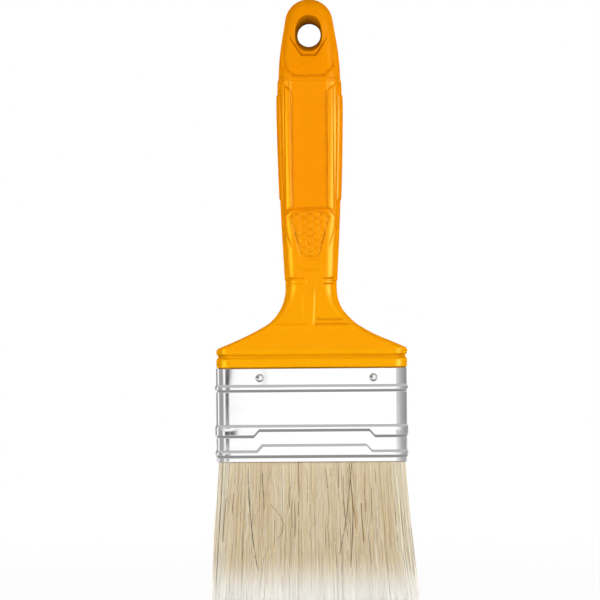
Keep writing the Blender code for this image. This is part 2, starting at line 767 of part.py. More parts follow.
def make_bristle():
    hair = new_material("pale_bristle", (0.61, 0.50, 0.33), 0.65)
    closed = SPACER_LOW_LEVEL - BANK_CLOSING_LENGTH
    free_levels = [0.0, closed / 2, closed, (closed + MOUTH_LEVEL) / 2]
    levels = free_levels + [MOUTH_LEVEL, SPACER_LOW_LEVEL, BUTT_END_LEVEL]
    for bank, name in ((-1, "front"), (0, "middle"), (1, "back")):
        rings = [bank_ring(level, bank) for level in levels]
        new_object("bristle_bank_" + name, loft(rings), parts, hair)


clear_scene()
parts = new_collection("paint_brush")
cutters = new_collection("cutters")
nail_hole_cutters = make_nail_cutters()
make_handle(nail_hole_cutters)
make_ferrule(nail_hole_cutters)
make_nails()
make_resin()
make_spacers()
make_bristle()
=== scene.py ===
import math
import bmesh
import bpy
import numpy as np
from mathutils import Euler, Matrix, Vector


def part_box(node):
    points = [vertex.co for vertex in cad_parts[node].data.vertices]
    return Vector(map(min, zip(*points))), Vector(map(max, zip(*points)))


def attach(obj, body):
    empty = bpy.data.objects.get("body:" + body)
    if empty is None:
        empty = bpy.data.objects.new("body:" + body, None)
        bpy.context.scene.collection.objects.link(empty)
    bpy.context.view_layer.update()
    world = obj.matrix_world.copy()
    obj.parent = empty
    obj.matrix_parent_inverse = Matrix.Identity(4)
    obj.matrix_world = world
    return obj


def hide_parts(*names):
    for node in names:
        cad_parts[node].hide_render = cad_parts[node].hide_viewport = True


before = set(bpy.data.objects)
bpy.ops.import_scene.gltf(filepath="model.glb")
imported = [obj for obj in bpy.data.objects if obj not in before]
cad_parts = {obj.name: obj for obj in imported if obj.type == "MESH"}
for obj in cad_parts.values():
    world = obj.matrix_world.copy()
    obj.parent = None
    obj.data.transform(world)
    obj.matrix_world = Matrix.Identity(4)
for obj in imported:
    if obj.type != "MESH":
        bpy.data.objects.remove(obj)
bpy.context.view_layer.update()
mm = 0.001
print("frame loaded:", len(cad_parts), "nodes")

# levels that every piece hangs on, in mm above the bristle ends
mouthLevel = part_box("ferrule")[0].z / mm
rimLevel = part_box("ferrule")[1].z / mm
seatGap = 0.3  # the head stands this far off the ferrule's rim
headLevel = rimLevel + seatGap


# small tools for meshes

def ramp(value, width):  # 0 to 1 with soft ends
    t = np.clip(value / width, 0.0, 1.0)
    return t * t * (3.0 - 2.0 * t)


def bell(offset, reach):  # 1 in the middle, falling off over the reach
    return np.exp(-((offset / reach) ** 2))


def throughStations(stations, height):  # smooth curve through (height, value) pairs
    last = len(stations) - 1

    def slope(i):
        low = stations[max(i - 1, 0)]
        high = stations[min(i + 1, last)]
        return (high[1] - low[1]) / (high[0] - low[0])

    if height <= stations[0][0]:
        return stations[0][1]
    for i in range(last):
        (start, first), (end, second) = stations[i], stations[i + 1]
        if height <= end:
            span = end - start
            t = (height - start) / span
            bend = t * (1 - t) * ((1 - t) * slope(i) - t * slope(i + 1))
            return first + (second - first) * t * t * (3 - 2 * t) + span * bend
    return stations[last][1]


def pointsOf(x, y, z):
    return np.stack([x, y, z], axis=-1)


def anglesRound(count):
    return np.arange(count) * 2 * math.pi / count


def roundedRing(halfX, halfY, radius, columns):  # x, y and normal of columns round a box with round corners
    acrossFaces, roundCorners, acrossSides = columns
    flatX, flatY, turn = [], [], []
    corners = ((1, -1, -90), (1, 1, 0), (-1, 1, 90), (-1, -1, 180))
    runs = (acrossSides, acrossFaces, acrossSides, acrossFaces)
    for i, (signX, signY, start) in enumerate(corners):
        for step in range(roundCorners):
            flatX.append(signX)
            flatY.append(signY)
            turn.append(start + 90 * step / roundCorners)
        nextX, nextY, _ = corners[(i + 1) % 4]
        for step in range(runs[i]):
            t = step / runs[i]
            flatX.append(signX + (nextX - signX) * t)
            flatY.append(signY + (nextY - signY) * t)
            turn.append(start + 90)
    angle = np.radians(np.array(turn, float))
    normalX, normalY = np.cos(angle), np.sin(angle)
    x = np.array(flatX, float) * (halfX - radius) + radius * normalX
    y = np.array(flatY, float) * (halfY - radius) + radius * normalY
    return x, y, normalX, normalY


def insideBy(outline, x, z):  # how far a point lies inside a convex outline, negative outside
    inside = np.full(np.broadcast(x, z).shape, np.inf)
    for (startX, startZ), (endX, endZ) in zip(outline, outline[1:] + outline[:1]):
        runX, runZ = endX - startX, endZ - startZ
        length = math.hypot(runX, runZ)
        inside = np.minimum(inside, ((z - startZ) * runX - (x - startX) * runZ) / length)
    return inside


def skinRings(name, rings, closeEnds=True):  # rings of points, one above the other, as a mesh
    rows, columns, _ = rings.shape
    row = np.arange(rows - 1)[:, None] * columns
    here = np.arange(columns)[None, :]
    beside = (here + 1) % columns
    quads = np.stack([row + here, row + beside, row + columns + beside, row + columns + here], axis=-1)
    faces = quads.reshape(-1, 4).tolist()
    if closeEnds:
        faces.append(list(range(columns))[::-1])
        faces.append(list(range((rows - 1) * columns, rows * columns)))
    mesh = bpy.data.meshes.new(name)
    mesh.from_pydata((rings.reshape(-1, 3) * mm).tolist(), [], faces)
    mesh.shade_smooth()
    return mesh


def mendMesh(mesh, weld=0.0):  # joins points that lie within the weld, or else turns the faces outwards
    shape = bmesh.new()
    shape.from_mesh(mesh)
    if weld:
        bmesh.ops.remove_doubles(shape, verts=shape.verts, dist=weld)
    else:
        bmesh.ops.recalc_face_normals(shape, faces=shape.faces)
    shape.to_mesh(mesh)
    shape.free()
    mesh.shade_smooth()
    return mesh


def placeObject(name, data):
    placed = bpy.data.objects.new(name, data)
    bpy.context.scene.collection.objects.link(placed)
    return placed


def cutAway(mesh, cutterMesh):  # the mesh with another mesh cut out of it
    body = placeObject("cutBody", mesh)
    cutter = placeObject("cutter", cutterMesh)
    body.modifiers.new("cut", "BOOLEAN").object = cutter
    depsgraph = bpy.context.evaluated_depsgraph_get()
    made = bpy.data.meshes.new_from_object(body.evaluated_get(depsgraph))
    for helper in (cutter, body):
        bpy.data.objects.remove(helper)
    made.name = mesh.name
    made.shade_smooth()
    return made


def middleOf(node):  # of a solid's box, in mm
    low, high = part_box(node)
    return (low + high) / 2 / mm


def addPiece(name, mesh, material, slot, *nodes):
    mesh.materials.clear()
    mesh.materials.append(material)
    piece = placeObject(name, mesh)
    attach(piece, "root")
    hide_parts(*nodes)
    return piece


# small tools for shader nodes

def colourOf(red, green, blue):
    return (red, green, blue, 1.0)


def setInputs(tree, node, inputs):  # another node's output is linked, a number or a colour is set
    for key, value in inputs.items():
        if isinstance(value, bpy.types.NodeSocket):
            tree.links.new(value, node.inputs[key])
        else:
            node.inputs[key].default_value = value


def addNode(tree, kind, inputs=None, **settings):
    node = tree.nodes.new("ShaderNode" + kind)
    for key, value in settings.items():
        setattr(node, key, value)
    setInputs(tree, node, inputs or {})
    return node


# each of the next four adds a node and gives its output

def mathNode(tree, operation, *values, **settings):
    node = addNode(tree, "Math", dict(enumerate(values)), operation=operation, **settings)
    return node.outputs[0]


def mapRange(tree, value, start, end, low=0.0, high=1.0, **settings):
    inputs = {"Value": value, "From Min": start, "From Max": end, "To Min": low, "To Max": high}
    return addNode(tree, "MapRange", inputs, **settings).outputs[0]


def mixColours(tree, factor, first, second, blend="MIX"):
    inputs = {"Factor": factor, 6: first, 7: second}  # both colours go by number, as their names repeat
    return addNode(tree, "Mix", inputs, data_type="RGBA", blend_type=blend).outputs[2]


def colourRamp(tree, factor, stops):  # (place, colour) pairs from 0 to 1
    node = addNode(tree, "ValToRGB", {"Fac": factor})
    ladder = node.color_ramp.elements
    while len(ladder) < len(stops):
        ladder.new(0.5)
    for element, (place, colour) in zip(ladder, stops):
        element.position = place
        element.color = colourOf(*colour)
    return node.outputs["Color"]


def newGroup(name, inputs, outputs):  # the group, what it is given and the node that takes its results
    group = bpy.data.node_groups.new(name, "ShaderNodeTree")
    for label, value in inputs.items():
        kind = "NodeSocketColor" if isinstance(value, tuple) else "NodeSocketFloat"
        group.interface.new_socket(label, in_out="INPUT", socket_type=kind).default_value = value
    for label, kind in outputs.items():
        group.interface.new_socket(label, in_out="OUTPUT", socket_type=kind)
    return group, group.nodes.new("NodeGroupInput").outputs, group.nodes.new("NodeGroupOutput")


def useGroup(tree, group, inputs):
    return addNode(tree, "Group", inputs, node_tree=group).outputs


def newMaterial(name, values):
    material = bpy.data.materials.new(name)
    material.use_nodes = True
    tree = material.node_tree
    shader = tree.nodes["Principled BSDF"]
    setInputs(tree, shader, values)
    return material, tree, shader


def toneDriftGroup():  # slow patches between two colours
    grey = colourOf(0.5, 0.5, 0.5)
    group, given, out = newGroup(
        "toneDrift",
        {"Colour": grey, "Other Colour": grey, "Scale": 60.0, "Contrast": 1.0},
        {"Colour": "NodeSocketColor"},
    )
    place = addNode(group, "TexCoord").outputs["Object"]
    patches = {"Vector": place, "Scale": given["Scale"], "Detail": 4.0, "Roughness": 0.55}
    noise = addNode(group, "TexNoise", patches).outputs["Fac"]
    offMiddle = mathNode(group, "SUBTRACT", noise, 0.5)
    spread = mathNode(group, "MULTIPLY", offMiddle, given["Contrast"])
    patch = mathNode(group, "ADD", spread, 0.5, use_clamp=True)
    setInputs(group, out, {"Colour": mixColours(group, patch, given["Colour"], given["Other Colour"])})
    return group


def fineGrainGroup():  # small grain, drawn out along one way where the stretches differ
    group, given, out = newGroup(
        "fineGrain",
        {"Scale": 3000.0, "Stretch X": 1.0, "Stretch Y": 1.0, "Stretch Z": 1.0, "Low": 0.3, "High": 0.4},
        {"Height": "NodeSocketFloat", "Roughness": "NodeSocketFloat"},
    )
    place = addNode(group, "TexCoord").outputs["Object"]
    stretch = addNode(group, "CombineXYZ", {axis: given["Stretch " + axis] for axis in "XYZ"}).outputs[0]
    drawn = addNode(group, "VectorMath", {0: place, 1: stretch}, operation="MULTIPLY").outputs[0]
    grains = {"Vector": drawn, "Scale": given["Scale"], "Detail": 3.0, "Roughness": 0.6}
    height = addNode(group, "TexNoise", grains).outputs["Fac"]
    roughness = mapRange(group, height, 0.25, 0.75, given["Low"], given["High"])
    setInputs(group, out, {"Height": height, "Roughness": roughness})
    return group


toneDrift = toneDriftGroup()
fineGrain = fineGrainGroup()


def grainedMaterial(look):  # tone patches and fine grain from the two groups on one shader
    material, tree, shader = newMaterial(look["name"], look["shader"])
    tone = useGroup(tree, toneDrift, look["tone"])
    grain = useGroup(tree, fineGrain, look["grain"])
    relief = {"Height": grain["Height"], "Strength": look["bump"], "Distance": look["bumpHeight"] * mm}
    normal = addNode(tree, "Bump", relief).outputs["Normal"]
    setInputs(tree, shader, {"Base Color": tone["Colour"], "Roughness": grain["Roughness"], "Normal": normal})
    return material


# handle: heights are mm above the head's lower edge, x is mm from the middle

handle = {
    "headHalf": 37.5,
    "roundLimit": 0.9,  # the most of a half width or depth that a corner takes
    "tenonHalf": (36.8, 7.3),
    "tenonRadius": 4.5,
    "tenonLength": 12.0,
    "tenonChamfer": 0.8,
    "edgeRound": 0.35,
    "grooveHeight": 4.3,
    "grooveHalf": 1.3,
    "grooveSlope": 1.2,
    "grooveDepth": 0.7,
    "bandHeight": 6.1,
    "shoulderRadius": 1.8,
    "shoulderTurn": 64.0,
    "shoulderSag": 1.1,
    "shoulderTop": 17.0,
    "flareRadius": 17.6,
    "flareTop": 31.0,
    "rightPush": ((18.0, 4.0, 0.75), (9.8, 2.6, 0.6)),  # height, reach and amount
    "neckHalf": 10.05,
    "collar": 34.6,
    "collarDrop": 0.4,
    "collarStep": 0.3,
    "gripHalves": ((62.4, 11.7), (98.4, 12.65), (113.6, 12.45), (123.0, 11.83)),  # height and half width
    "crown": 113.6,
    "crownStep": 0.33,
    "crownSlope": 0.4,
    "crownSide": 112.3,
    "crownSideSlope": 1.0,
    "top": 145.0,
    "buttRadius": 9.4,
    "buttTaper": 8.0,
    "buttRound": 5.0,
    "buttTurn": 4,  # degrees between the rows of the round end
    "halfDepths": ((6.1, 8.0), (17.0, 7.1), (31.0, 6.5), (98.4, 7.8), (113.6, 7.2), (145.0, 5.7)),
    "edgeRadii": ((6.1, 5.2), (7.9, 4.0), (11.5, 2.8), (17.0, 2.8), (31.0, 5.2)),
    "columns": (62, 26, 5),
    "creaseReach": 0.32,
    "lineEnd": 0.9,
    "reliefFrom": 0.42,  # the moulding fades where the surface turns to the side
    "reliefOver": 0.3,
}

# rows up the handle, close together where the moulding is fine: (from, to, step)
handleRows = (
    (0.0, 0.5, 0.12), (0.5, 2.9, 0.8), (2.9, 5.7, 0.16), (5.7, 8.2, 0.2), (8.2, 16.4, 0.7),
    (16.4, 19.4, 0.17), (19.4, 32.2, 0.64), (32.2, 35.8, 0.16), (35.8, 43.0, 0.36), (43.0, 58.0, 0.26),
    (58.0, 63.4, 0.2), (63.4, 67.2, 0.3), (67.2, 105.6, 1.0), (105.6, 114.8, 0.22), (114.8, 119.0, 0.24),
    (119.0, 122.0, 0.4), (122.0, 131.0, 0.26), (131.0, 136.8, 0.45),
)

# sunk and raised forms of the front and back: convex outline of (x, height) from the middle out, rise,
# width of the wall and depth of the crease along its foot
mouldings = {
    "channel": ([(-9, 62.4), (7.1, 62.4), (7.1, 112.7), (-9, 112.7)], -0.55, 0.6, 0.03),
    "rail": ([(7.2, 62.9), (9.45, 61.2), (9.45, 110.5), (7.2, 108.6)], 0.28, 0.6, 0.08),
    "crownFacet": ([(7.7, 109.0), (13.2, 113.4), (7.7, 113.4)], -0.4, 0.8, 0.05),
    "tray": ([(-9, 114.3), (5.9, 114.3), (10.3, 118.1), (10.5, 131.0), (-9, 131.0)], -0.6, 0.7, 0.14),
    "hexRecess": ([(-9, 122.4), (2.9, 122.4), (7.35, 129.1), (7.35, 137.0), (-9, 137.0)], -0.6, 0.36, 0.2),
    "shield": (
        [(-9, 43.3), (3.0, 43.3), (3.9, 44.6), (7.9, 58.9), (5.5, 61.4), (-9, 61.4)], -0.44, 0.6, 0.13,
    ),
    "shieldFrame": (
        [(-9, 42.0), (5.7, 42.0), (9.75, 55.0), (10.2, 59.3), (7.0, 61.9), (-9, 61.9)], 0.34, 0.6, 0.14,
    ),
    "bar": ([(-9, 38.2), (4.3, 38.2), (4.3, 41.7), (-9, 41.7)], 0.2, 1.6, 0.0),
    "collarBar": ([(5.2, 33.0), (10.8, 33.0), (10.8, 34.7), (5.2, 34.7)], 0.28, 0.7, 0.09),
    "collarPad": ([(1.7, 32.9), (9.6, 32.9), (9.6, 34.75), (1.7, 34.75)], 0.17, 0.8, 0.0),
    "neckHollow": ([(0.7, 16.9), (25, 16.9), (25, 35.2), (2.6, 35.2), (1.3, 29.5)], -0.3, 0.45, 0.0),
    "hollowStep": ([(3.2, 18.8), (25, 18.8), (25, 25.9), (3.2, 25.9)], 0.16, 0.6, 0.0),
}
# where a form fades along its length: (from, to, share that is left)
fades = {
    "channel": [(104.0, 112.0, 0.5)],
    "tray": [(119.0, 129.0, 0.0)],
    "hexRecess": [(127.5, 135.0, 0.0)],
    "shield": [(50.0, 43.5, 0.6), (58.0, 61.4, 0.45)],
    "shieldFrame": [(51.0, 44.5, 0.0)],
    "neckHollow": [(27.0, 33.5, 0.0)],
    "hollowStep": [(19.6, 24.5, 0.0)],
}
# how much of a form there is on the left and on the right, where they differ
sideShares = {
    "neckHollow": (0.5, 1.0),
    "hollowStep": (0.0, 1.0),
    "collarBar": (0.0, 1.0),
    "collarPad": (1.0, 0.0),
}
# fine lines across the handle: from x to x, height, depth and reach
fineLines = (
    (-6.0, 6.0, 62.35, 0.2, 0.3), (-4.0, 4.2, 41.9, 0.17, 0.45), (-4.0, 4.2, 37.9, 0.2, 0.5),
    (-9.4, -2.0, 35.0, 0.2, 0.32), (4.4, 9.4, 35.0, 0.09, 0.28), (4.8, 9.4, 32.85, 0.17, 0.24),
    (1.2, 16.5, 16.9, 0.36, 0.38), (1.6, 13.5, 18.8, 0.38, 0.34), (-17.0, -0.8, 16.9, 0.22, 0.38),
)
spine = {"x": 0.35, "leftStep": 2.5}  # the neck's spine, steep on its right and stepped on its left
honeycomb = {
    "origin": 61.3,
    "flats": 2.87,
    "groove": 0.55,
    "margin": 0.35,
    "edge": 0.3,
    "shieldRise": 0.26,
    "trayRise": 0.12,
    "trayTop": 120.4,
    "trayFade": 1.6,
}
collarEdge = {
    "height": 35.0,
    "proud": 0.36,
    "shares": (0.65, 0.35),  # of the edge and of the chamfer below it
    "width": 0.25,
    "chamfers": ((0.6, 1.2), (1.95, 0.3)),  # left and right: how far below the edge, and width
    "fadeFrom": 38.0,
    "fadeOver": 14.0,
    "spine": 2.6,
    "spineFade": 4.4,
}
pads = {
    "low": 65.8,
    "high": 107.3,
    "end": 0.5,
    "width": 1.0,
    "proud": 0.35,
    "slope": 0.6,
    "groove": 0.62,
    "grooveDepth": 0.3,
    "grooveSlope": 0.25,
}
hole = {
    "height": 130.75,
    "bore": 4.65,
    "waist": 2.5,
    "mouthX": 5.3,
    "mouthUp": 7.5,
    "mouthDown": 6.5,
    "fullness": 2.25,
    "lip": 0.35,
    "lipRows": (0.0, 0.1, 0.3, 0.6, 1.0),
    "past": 1.2,
    "pastSlope": 1.2,
    "steps": 72,
    "rim": 0.22,
    "rimReach": 0.5,
}


def handleHalfWidth(height):
    if height < handle["bandHeight"]:
        return handle["headHalf"]
    turn = math.radians(handle["shoulderTurn"])
    cornerTop = handle["bandHeight"] + handle["shoulderRadius"] * math.sin(turn)
    cornerHalf = handle["headHalf"] - handle["shoulderRadius"] * (1 - math.cos(turn))
    if height < cornerTop:
        angle = math.asin((height - handle["bandHeight"]) / handle["shoulderRadius"])
        return handle["headHalf"] - handle["shoulderRadius"] * (1 - math.cos(angle))
    below = handle["flareTop"] - height
    radius = handle["flareRadius"]
    if height < handle["shoulderTop"]:
        reach = handle["flareTop"] - handle["shoulderTop"]
        flareHalf = handle["neckHalf"] + radius - math.sqrt(radius**2 - reach**2)
        t = (height - cornerTop) / (handle["shoulderTop"] - cornerTop)
        return cornerHalf + (flareHalf - cornerHalf) * t - handle["shoulderSag"] * 4 * t * (1 - t)
    if below > 0:
        return handle["neckHalf"] + radius - math.sqrt(radius**2 - below**2)
    if height < handle["collar"] - handle["collarDrop"]:
        return handle["neckHalf"]
    taper = math.radians(handle["buttTaper"])
    arcHeight = handle["top"] - handle["buttRadius"] * (1 - math.sin(taper))
    if height >= arcHeight:
        across = (height - handle["top"] + handle["buttRadius"]) / handle["buttRadius"]
        return handle["buttRadius"] * math.sqrt(max(0.0, 1 - across**2))
    stations = (
        (handle["collar"], handle["neckHalf"] + handle["collarStep"]),
        *handle["gripHalves"],
        (arcHeight, handle["buttRadius"] * math.cos(taper) + handle["crownStep"]),
    )
    step = handle["crownStep"] * float(ramp(height - handle["crownSide"], handle["crownSideSlope"]))
    return throughStations(stations, height) - step


def handleHalfDepth(height):
    half = throughStations(handle["halfDepths"], height)
    step = handle["crownStep"] * float(ramp(height - handle["crown"], handle["crownSlope"]))
    intoRound = max(0.0, height - (handle["top"] - handle["buttRound"])) / handle["buttRound"]
    return (half - step) * math.sqrt(max(0.0, 1 - intoRound**2))


def handleSections():  # (height, half width, half depth, corner radius) of every row, tenon first
    sections = []
    tenonX, tenonY = handle["tenonHalf"]
    chamfer, length = handle["tenonChamfer"], handle["tenonLength"]
    for height, inset in ((-length, chamfer), (chamfer - length, 0.0), (0.0, 0.0)):
        sections.append((height, tenonX - inset, tenonY - inset, handle["tenonRadius"] - inset))
    heights = []
    for low, high, step in handleRows:
        count = math.ceil((high - low) / step)
        heights += [low + (high - low) * i / count for i in range(count)]
    roundStart = handleRows[-1][1]
    roundRise = handle["top"] - roundStart
    turns = range(0, 90, handle["buttTurn"])
    heights += [roundStart + roundRise * math.sin(math.radians(angle)) for angle in turns]
    for height in heights:
        inset = handle["edgeRound"] * (1 - math.sqrt(1 - (1 - min(1.0, height / handle["edgeRound"])) ** 2))
        offGroove = abs(height - handle["grooveHeight"])
        inGroove = float(ramp(handle["grooveHalf"] - offGroove, handle["grooveSlope"]))
        inset += handle["grooveDepth"] * inGroove
        halfX = handleHalfWidth(height) - inset
        halfY = handleHalfDepth(height) - inset
        radius = throughStations(handle["edgeRadii"], height)
        radius = min(radius, handle["roundLimit"] * min(halfX, halfY))
        sections.append((height, halfX, halfY, radius))
    return np.array(sections)


def hexPads(x, height):  # 1 on a honeycomb pad, 0 in the grooves
    flats = honeycomb["flats"]
    columnStep = flats * math.sqrt(3) / 2
    column = np.round(x / columnStep)
    best = np.full(x.shape, -np.inf)
    for shift in (-1, 0, 1):
        near = column + shift
        offset = np.where(near % 2 == 0, 0.0, flats / 2)
        offX = np.abs(x - near * columnStep)
        offZ = height - offset
        offZ = np.abs(offZ - np.round(offZ / flats) * flats)
        edge = flats / 2 - np.maximum(offZ, offZ / 2 + offX * math.sqrt(3) / 2)
        best = np.maximum(best, edge)
    return ramp(best - honeycomb["groove"] / 4, honeycomb["groove"] * 0.75)


def collarRise(x, height):  # the collar's edge, with a chamfer that is lower on the right
    level = height - collarEdge["height"]
    edgeShare, chamferShare = collarEdge["shares"]
    left, right = (ramp(level + below, width) for below, width in collarEdge["chamfers"])
    rise = edgeShare * ramp(level, collarEdge["width"]) + chamferShare * np.where(x > 0, right, left)
    fadeOut = 1 - ramp(height - collarEdge["fadeFrom"], collarEdge["fadeOver"])
    offSpine = ramp(np.abs(x) - collarEdge["spine"], collarEdge["spineFade"])
    return collarEdge["proud"] * rise * fadeOut * offSpine


def holeRim(x, height):  # a low rim round the mouth of the hanging hole
    full = hole["fullness"]
    reachZ = np.where(height > hole["height"], hole["mouthUp"], hole["mouthDown"])
    outX = np.abs(x) / hole["mouthX"]
    outZ = np.abs((height - hole["height"]) / reachZ)
    offMouth = ((outX**full + outZ**full) ** (1 / full) - 1) * hole["mouthX"] - hole["lip"]
    return hole["rim"] * bell(offMouth, hole["rimReach"])


def sidePads(height, fromSide):  # raised grip pads, each with a groove along it
    along = ramp(height - pads["low"], pads["end"]) * ramp(pads["high"] - height, pads["end"])
    onPad = ramp(pads["width"] - fromSide, pads["slope"])
    inGroove = ramp(fromSide - pads["width"], pads["grooveSlope"])
    inGroove = inGroove * ramp(pads["width"] + pads["groove"] - fromSide, pads["grooveSlope"])
    return along * (pads["proud"] * onPad - pads["grooveDepth"] * inGroove)


def handleRelief(x, height, halfX, facing):  # how far the moulding stands proud of the plain form
    across = np.abs(x)
    besideSpine = np.where(x < spine["x"], spine["x"] - x - spine["leftStep"], x - spine["x"])
    relief = np.zeros(x.shape)
    for name, (outline, rise, wall, crease) in mouldings.items():
        inside = insideBy(outline, besideSpine if name == "neckHollow" else across, height)
        foot = math.copysign(wall / 2, -rise)
        amount = rise * ramp(inside + wall / 2, wall) - crease * bell(inside - foot, handle["creaseReach"])
        for start, end, left in fades.get(name, []):
            amount = amount * (1 - (1 - left) * ramp(height - start, end - start))
        onLeft, onRight = sideShares.get(name, (1.0, 1.0))
        relief += amount * np.where(x < 0, onLeft, onRight)
    inShield, inTray = (
        ramp(insideBy(mouldings[name][0], across, height) - honeycomb["margin"], honeycomb["edge"])
        for name in ("shield", "tray")
    )
    belowHole = 1 - ramp(height - honeycomb["trayTop"], honeycomb["trayFade"])
    padRise = honeycomb["shieldRise"] * inShield + honeycomb["trayRise"] * inTray * belowHole
    relief += hexPads(x, height - honeycomb["origin"]) * padRise
    for start, end, level, depth, reach in fineLines:
        ends = ramp(x - start, handle["lineEnd"]) * ramp(end - x, handle["lineEnd"])
        relief -= depth * ends * bell(height - level, reach)
    relief += collarRise(x, height)
    relief += holeRim(x, height)
    relief *= ramp(np.abs(facing) - handle["reliefFrom"], handle["reliefOver"])
    return relief + sidePads(height, halfX - across)


def holeCutter():  # round at its waist, and opening to an upright oval at each face
    angles = anglesRound(hole["steps"])
    sideways, upwards = np.sin(angles), np.cos(angles)
    reachZ = np.where(upwards > 0, hole["mouthUp"], hole["mouthDown"])
    squareness = 2 / hole["fullness"]
    mouthX, mouthZ = (np.sign(way) * np.abs(way) ** squareness for way in (sideways, upwards))
    waistX = hole["bore"] * sideways
    waistZ = hole["bore"] * upwards + hole["height"] + headLevel
    lip = hole["lip"]
    rings = []
    for side in (-1, 1):
        half = []
        for depth in [-hole["past"]] + [share * lip for share in hole["lipRows"]]:
            grow = lip * (1 - math.sqrt(max(0.0, 1 - (1 - min(1.0, max(depth, 0.0) / lip)) ** 2)))
            grow += max(0.0, -depth) * hole["pastSlope"]
            x = (hole["mouthX"] + grow) * mouthX
            z = (reachZ + grow) * mouthZ + hole["height"]
            surface = np.array([handleHalfDepth(height) for height in z])
            halfWidth = np.array([handleHalfWidth(height) for height in z])
            surface = surface + handleRelief(x, z, halfWidth, np.ones(x.shape))
            half.append(pointsOf(x, side * (surface - depth), z + headLevel))
        half.append(pointsOf(waistX, np.full(angles.shape, side * hole["waist"]), waistZ))
        rings += half if side < 0 else half[::-1]
    return mendMesh(skinRings("holeCutter", np.array(rings)))


def makeHandle(material):
    sections = handleSections()
    height, halfX, halfY, radius = (sections[:, i][:, None] for i in range(4))
    x, y, normalX, normalY = roundedRing(halfX, halfY, radius, handle["columns"])
    for level, reach, push in handle["rightPush"]:  # shoulder and flare are a little wider on the right
        x = x + push * bell(height - level, reach) * np.maximum(x / halfX, 0.0) ** 2
    tall = np.broadcast_to(height, x.shape)
    relief = handleRelief(x, tall, halfX, np.broadcast_to(normalY, x.shape))
    relief = np.where(tall > 0, relief, 0.0)
    rings = pointsOf(x + normalX * relief, y + normalY * relief, tall + headLevel)
    mesh = cutAway(skinRings("handle", rings), holeCutter())
    return addPiece("moulded_handle", mesh, material, "handle_plastic", "handle")


handleLook = {
    "name": "orangePlastic",
    "shader": {"Specular Tint": colourOf(1.0, 0.76, 0.06), "Specular IOR Level": 0.14},
    "tone": {"Colour": colourOf(0.95, 0.362, 0.0006), "Other Colour": colourOf(0.93, 0.345, 0.0006),
             "Scale": 55.0, "Contrast": 1.2},
    "grain": {"Scale": 2600.0, "Low": 0.3, "High": 0.38},
    "bump": 0.08,
    "bumpHeight": 0.05,
    "paintedShadeByHeight": (  # painted light and shade by height, a little lighter at the band and darker towards the butt: metres above the floor, and what the colour is multiplied by there
        (0.0976, (1.0, 1.09, 1.0)), (0.0995, (1.0, 0.98, 1.0)), (0.11, (1.0, 1.0, 1.0)),
        (0.165, (0.97, 0.79, 1.0)), (0.2, (0.96, 0.8, 1.0)), (0.224, (0.94, 0.8, 1.0)),
        (0.2366, (0.86, 0.74, 1.0)),
    ),
    # how far painted shade is gathered in recesses, in mm, the openness where it starts and is full, and its
    # tone
    "paintedRecessShade": ((16.0, 0.76, 0.42, (0.11, 0.1, 0.1)), (1.5, 0.95, 0.55, (0.52, 0.38, 0.4))),
    "recessRoughness": 0.8,
    "sheenFacing": (0.12, 0.24),  # the gloss fades out as a surface turns away
    "buttFrom": (0.204, 0.208),
    "buttSheen": 0.15,
}


def plasticMaterial(look):  # the colour is darkened towards the butt and in recesses by painted shade, and a little lightened at the band by painted light
    material = grainedMaterial(look)
    tree = material.node_tree
    shader = tree.nodes["Principled BSDF"]
    plain = shader.inputs["Base Color"].links[0].from_socket
    roughness = shader.inputs["Roughness"].links[0].from_socket
    place = addNode(tree, "TexCoord").outputs["Object"]
    height = addNode(tree, "SeparateXYZ", {0: place}).outputs["Z"]
    # painted shade towards the butt and painted light at the band, by height
    low, high = look["paintedShadeByHeight"][0][0], look["paintedShadeByHeight"][-1][0]
    stops = [((level - low) / (high - low), tone) for level, tone in look["paintedShadeByHeight"]]
    heightShade = colourRamp(tree, mapRange(tree, height, low, high), stops)
    colour = mixColours(tree, 1.0, plain, heightShade, "MULTIPLY")
    # painted shade in recesses and creases, by ambient occlusion, which also makes them duller
    for reach, openAt, shutAt, tone in look["paintedRecessShade"]:
        openness = addNode(tree, "AmbientOcclusion", {"Distance": reach * mm}, samples=12, only_local=True)
        shadeAndDull = mapRange(tree, openness.outputs["AO"], openAt, shutAt)
        colour = mixColours(tree, shadeAndDull, colour, colourOf(*tone), "MULTIPLY")
        dull = addNode(tree, "Mix", {"Factor": shadeAndDull, 2: roughness, 3: look["recessRoughness"]})
        roughness = dull.outputs[0]
    facing = addNode(tree, "LayerWeight", {"Blend": 0.5}).outputs["Facing"]
    sheen = mapRange(tree, facing, *look["sheenFacing"], look["shader"]["Specular IOR Level"], 0.0)
    satin = mapRange(tree, height, *look["buttFrom"], 1.0, look["buttSheen"])
    shine = mathNode(tree, "MULTIPLY", sheen, satin)
    setInputs(tree, shader, {"Base Color": colour, "Roughness": roughness, "Specular IOR Level": shine})
    return material


handlePiece = makeHandle(plasticMaterial(handleLook))
print("handle made")


# ferrule: heights are mm above its mouth

ferrule = {
    "halfX": 37.5,
    "halfY": 8.0,
    "cornerRadius": 5.2,
    "sheet": 0.4,
    "height": rimLevel - mouthLevel,
    "beadProud": 0.45,
    "beadSlope": 1.15,
    "bendShare": 0.14,
    "jogRise": 2.4,
    "jogRun": 2.1,
    "jogX": 1.1,
    "seamHalf": 1.8,
    "seamProud": 0.3,
    "seamSlope": 0.35,
    "bow": 0.2,
    "slopeRows": 9,
    "foldRow": 0.12,
    "lipTurns": (30, 60, 90, 120, 150),
    "columns": (160, 18, 22),
    "squareOn": 0.99,  # a column whose normal is past this lies on a flat face
    "weld": 1e-7,
}

# beads up the ferrule: lower and upper foot, and half width of the raised middle of each (0 where straight)
beads = ((1.6, 4.8, 0.0, 20.5), (9.5, 14.8, 21.7, 0.0), (27.4, 30.5, 0.0, 0.0))

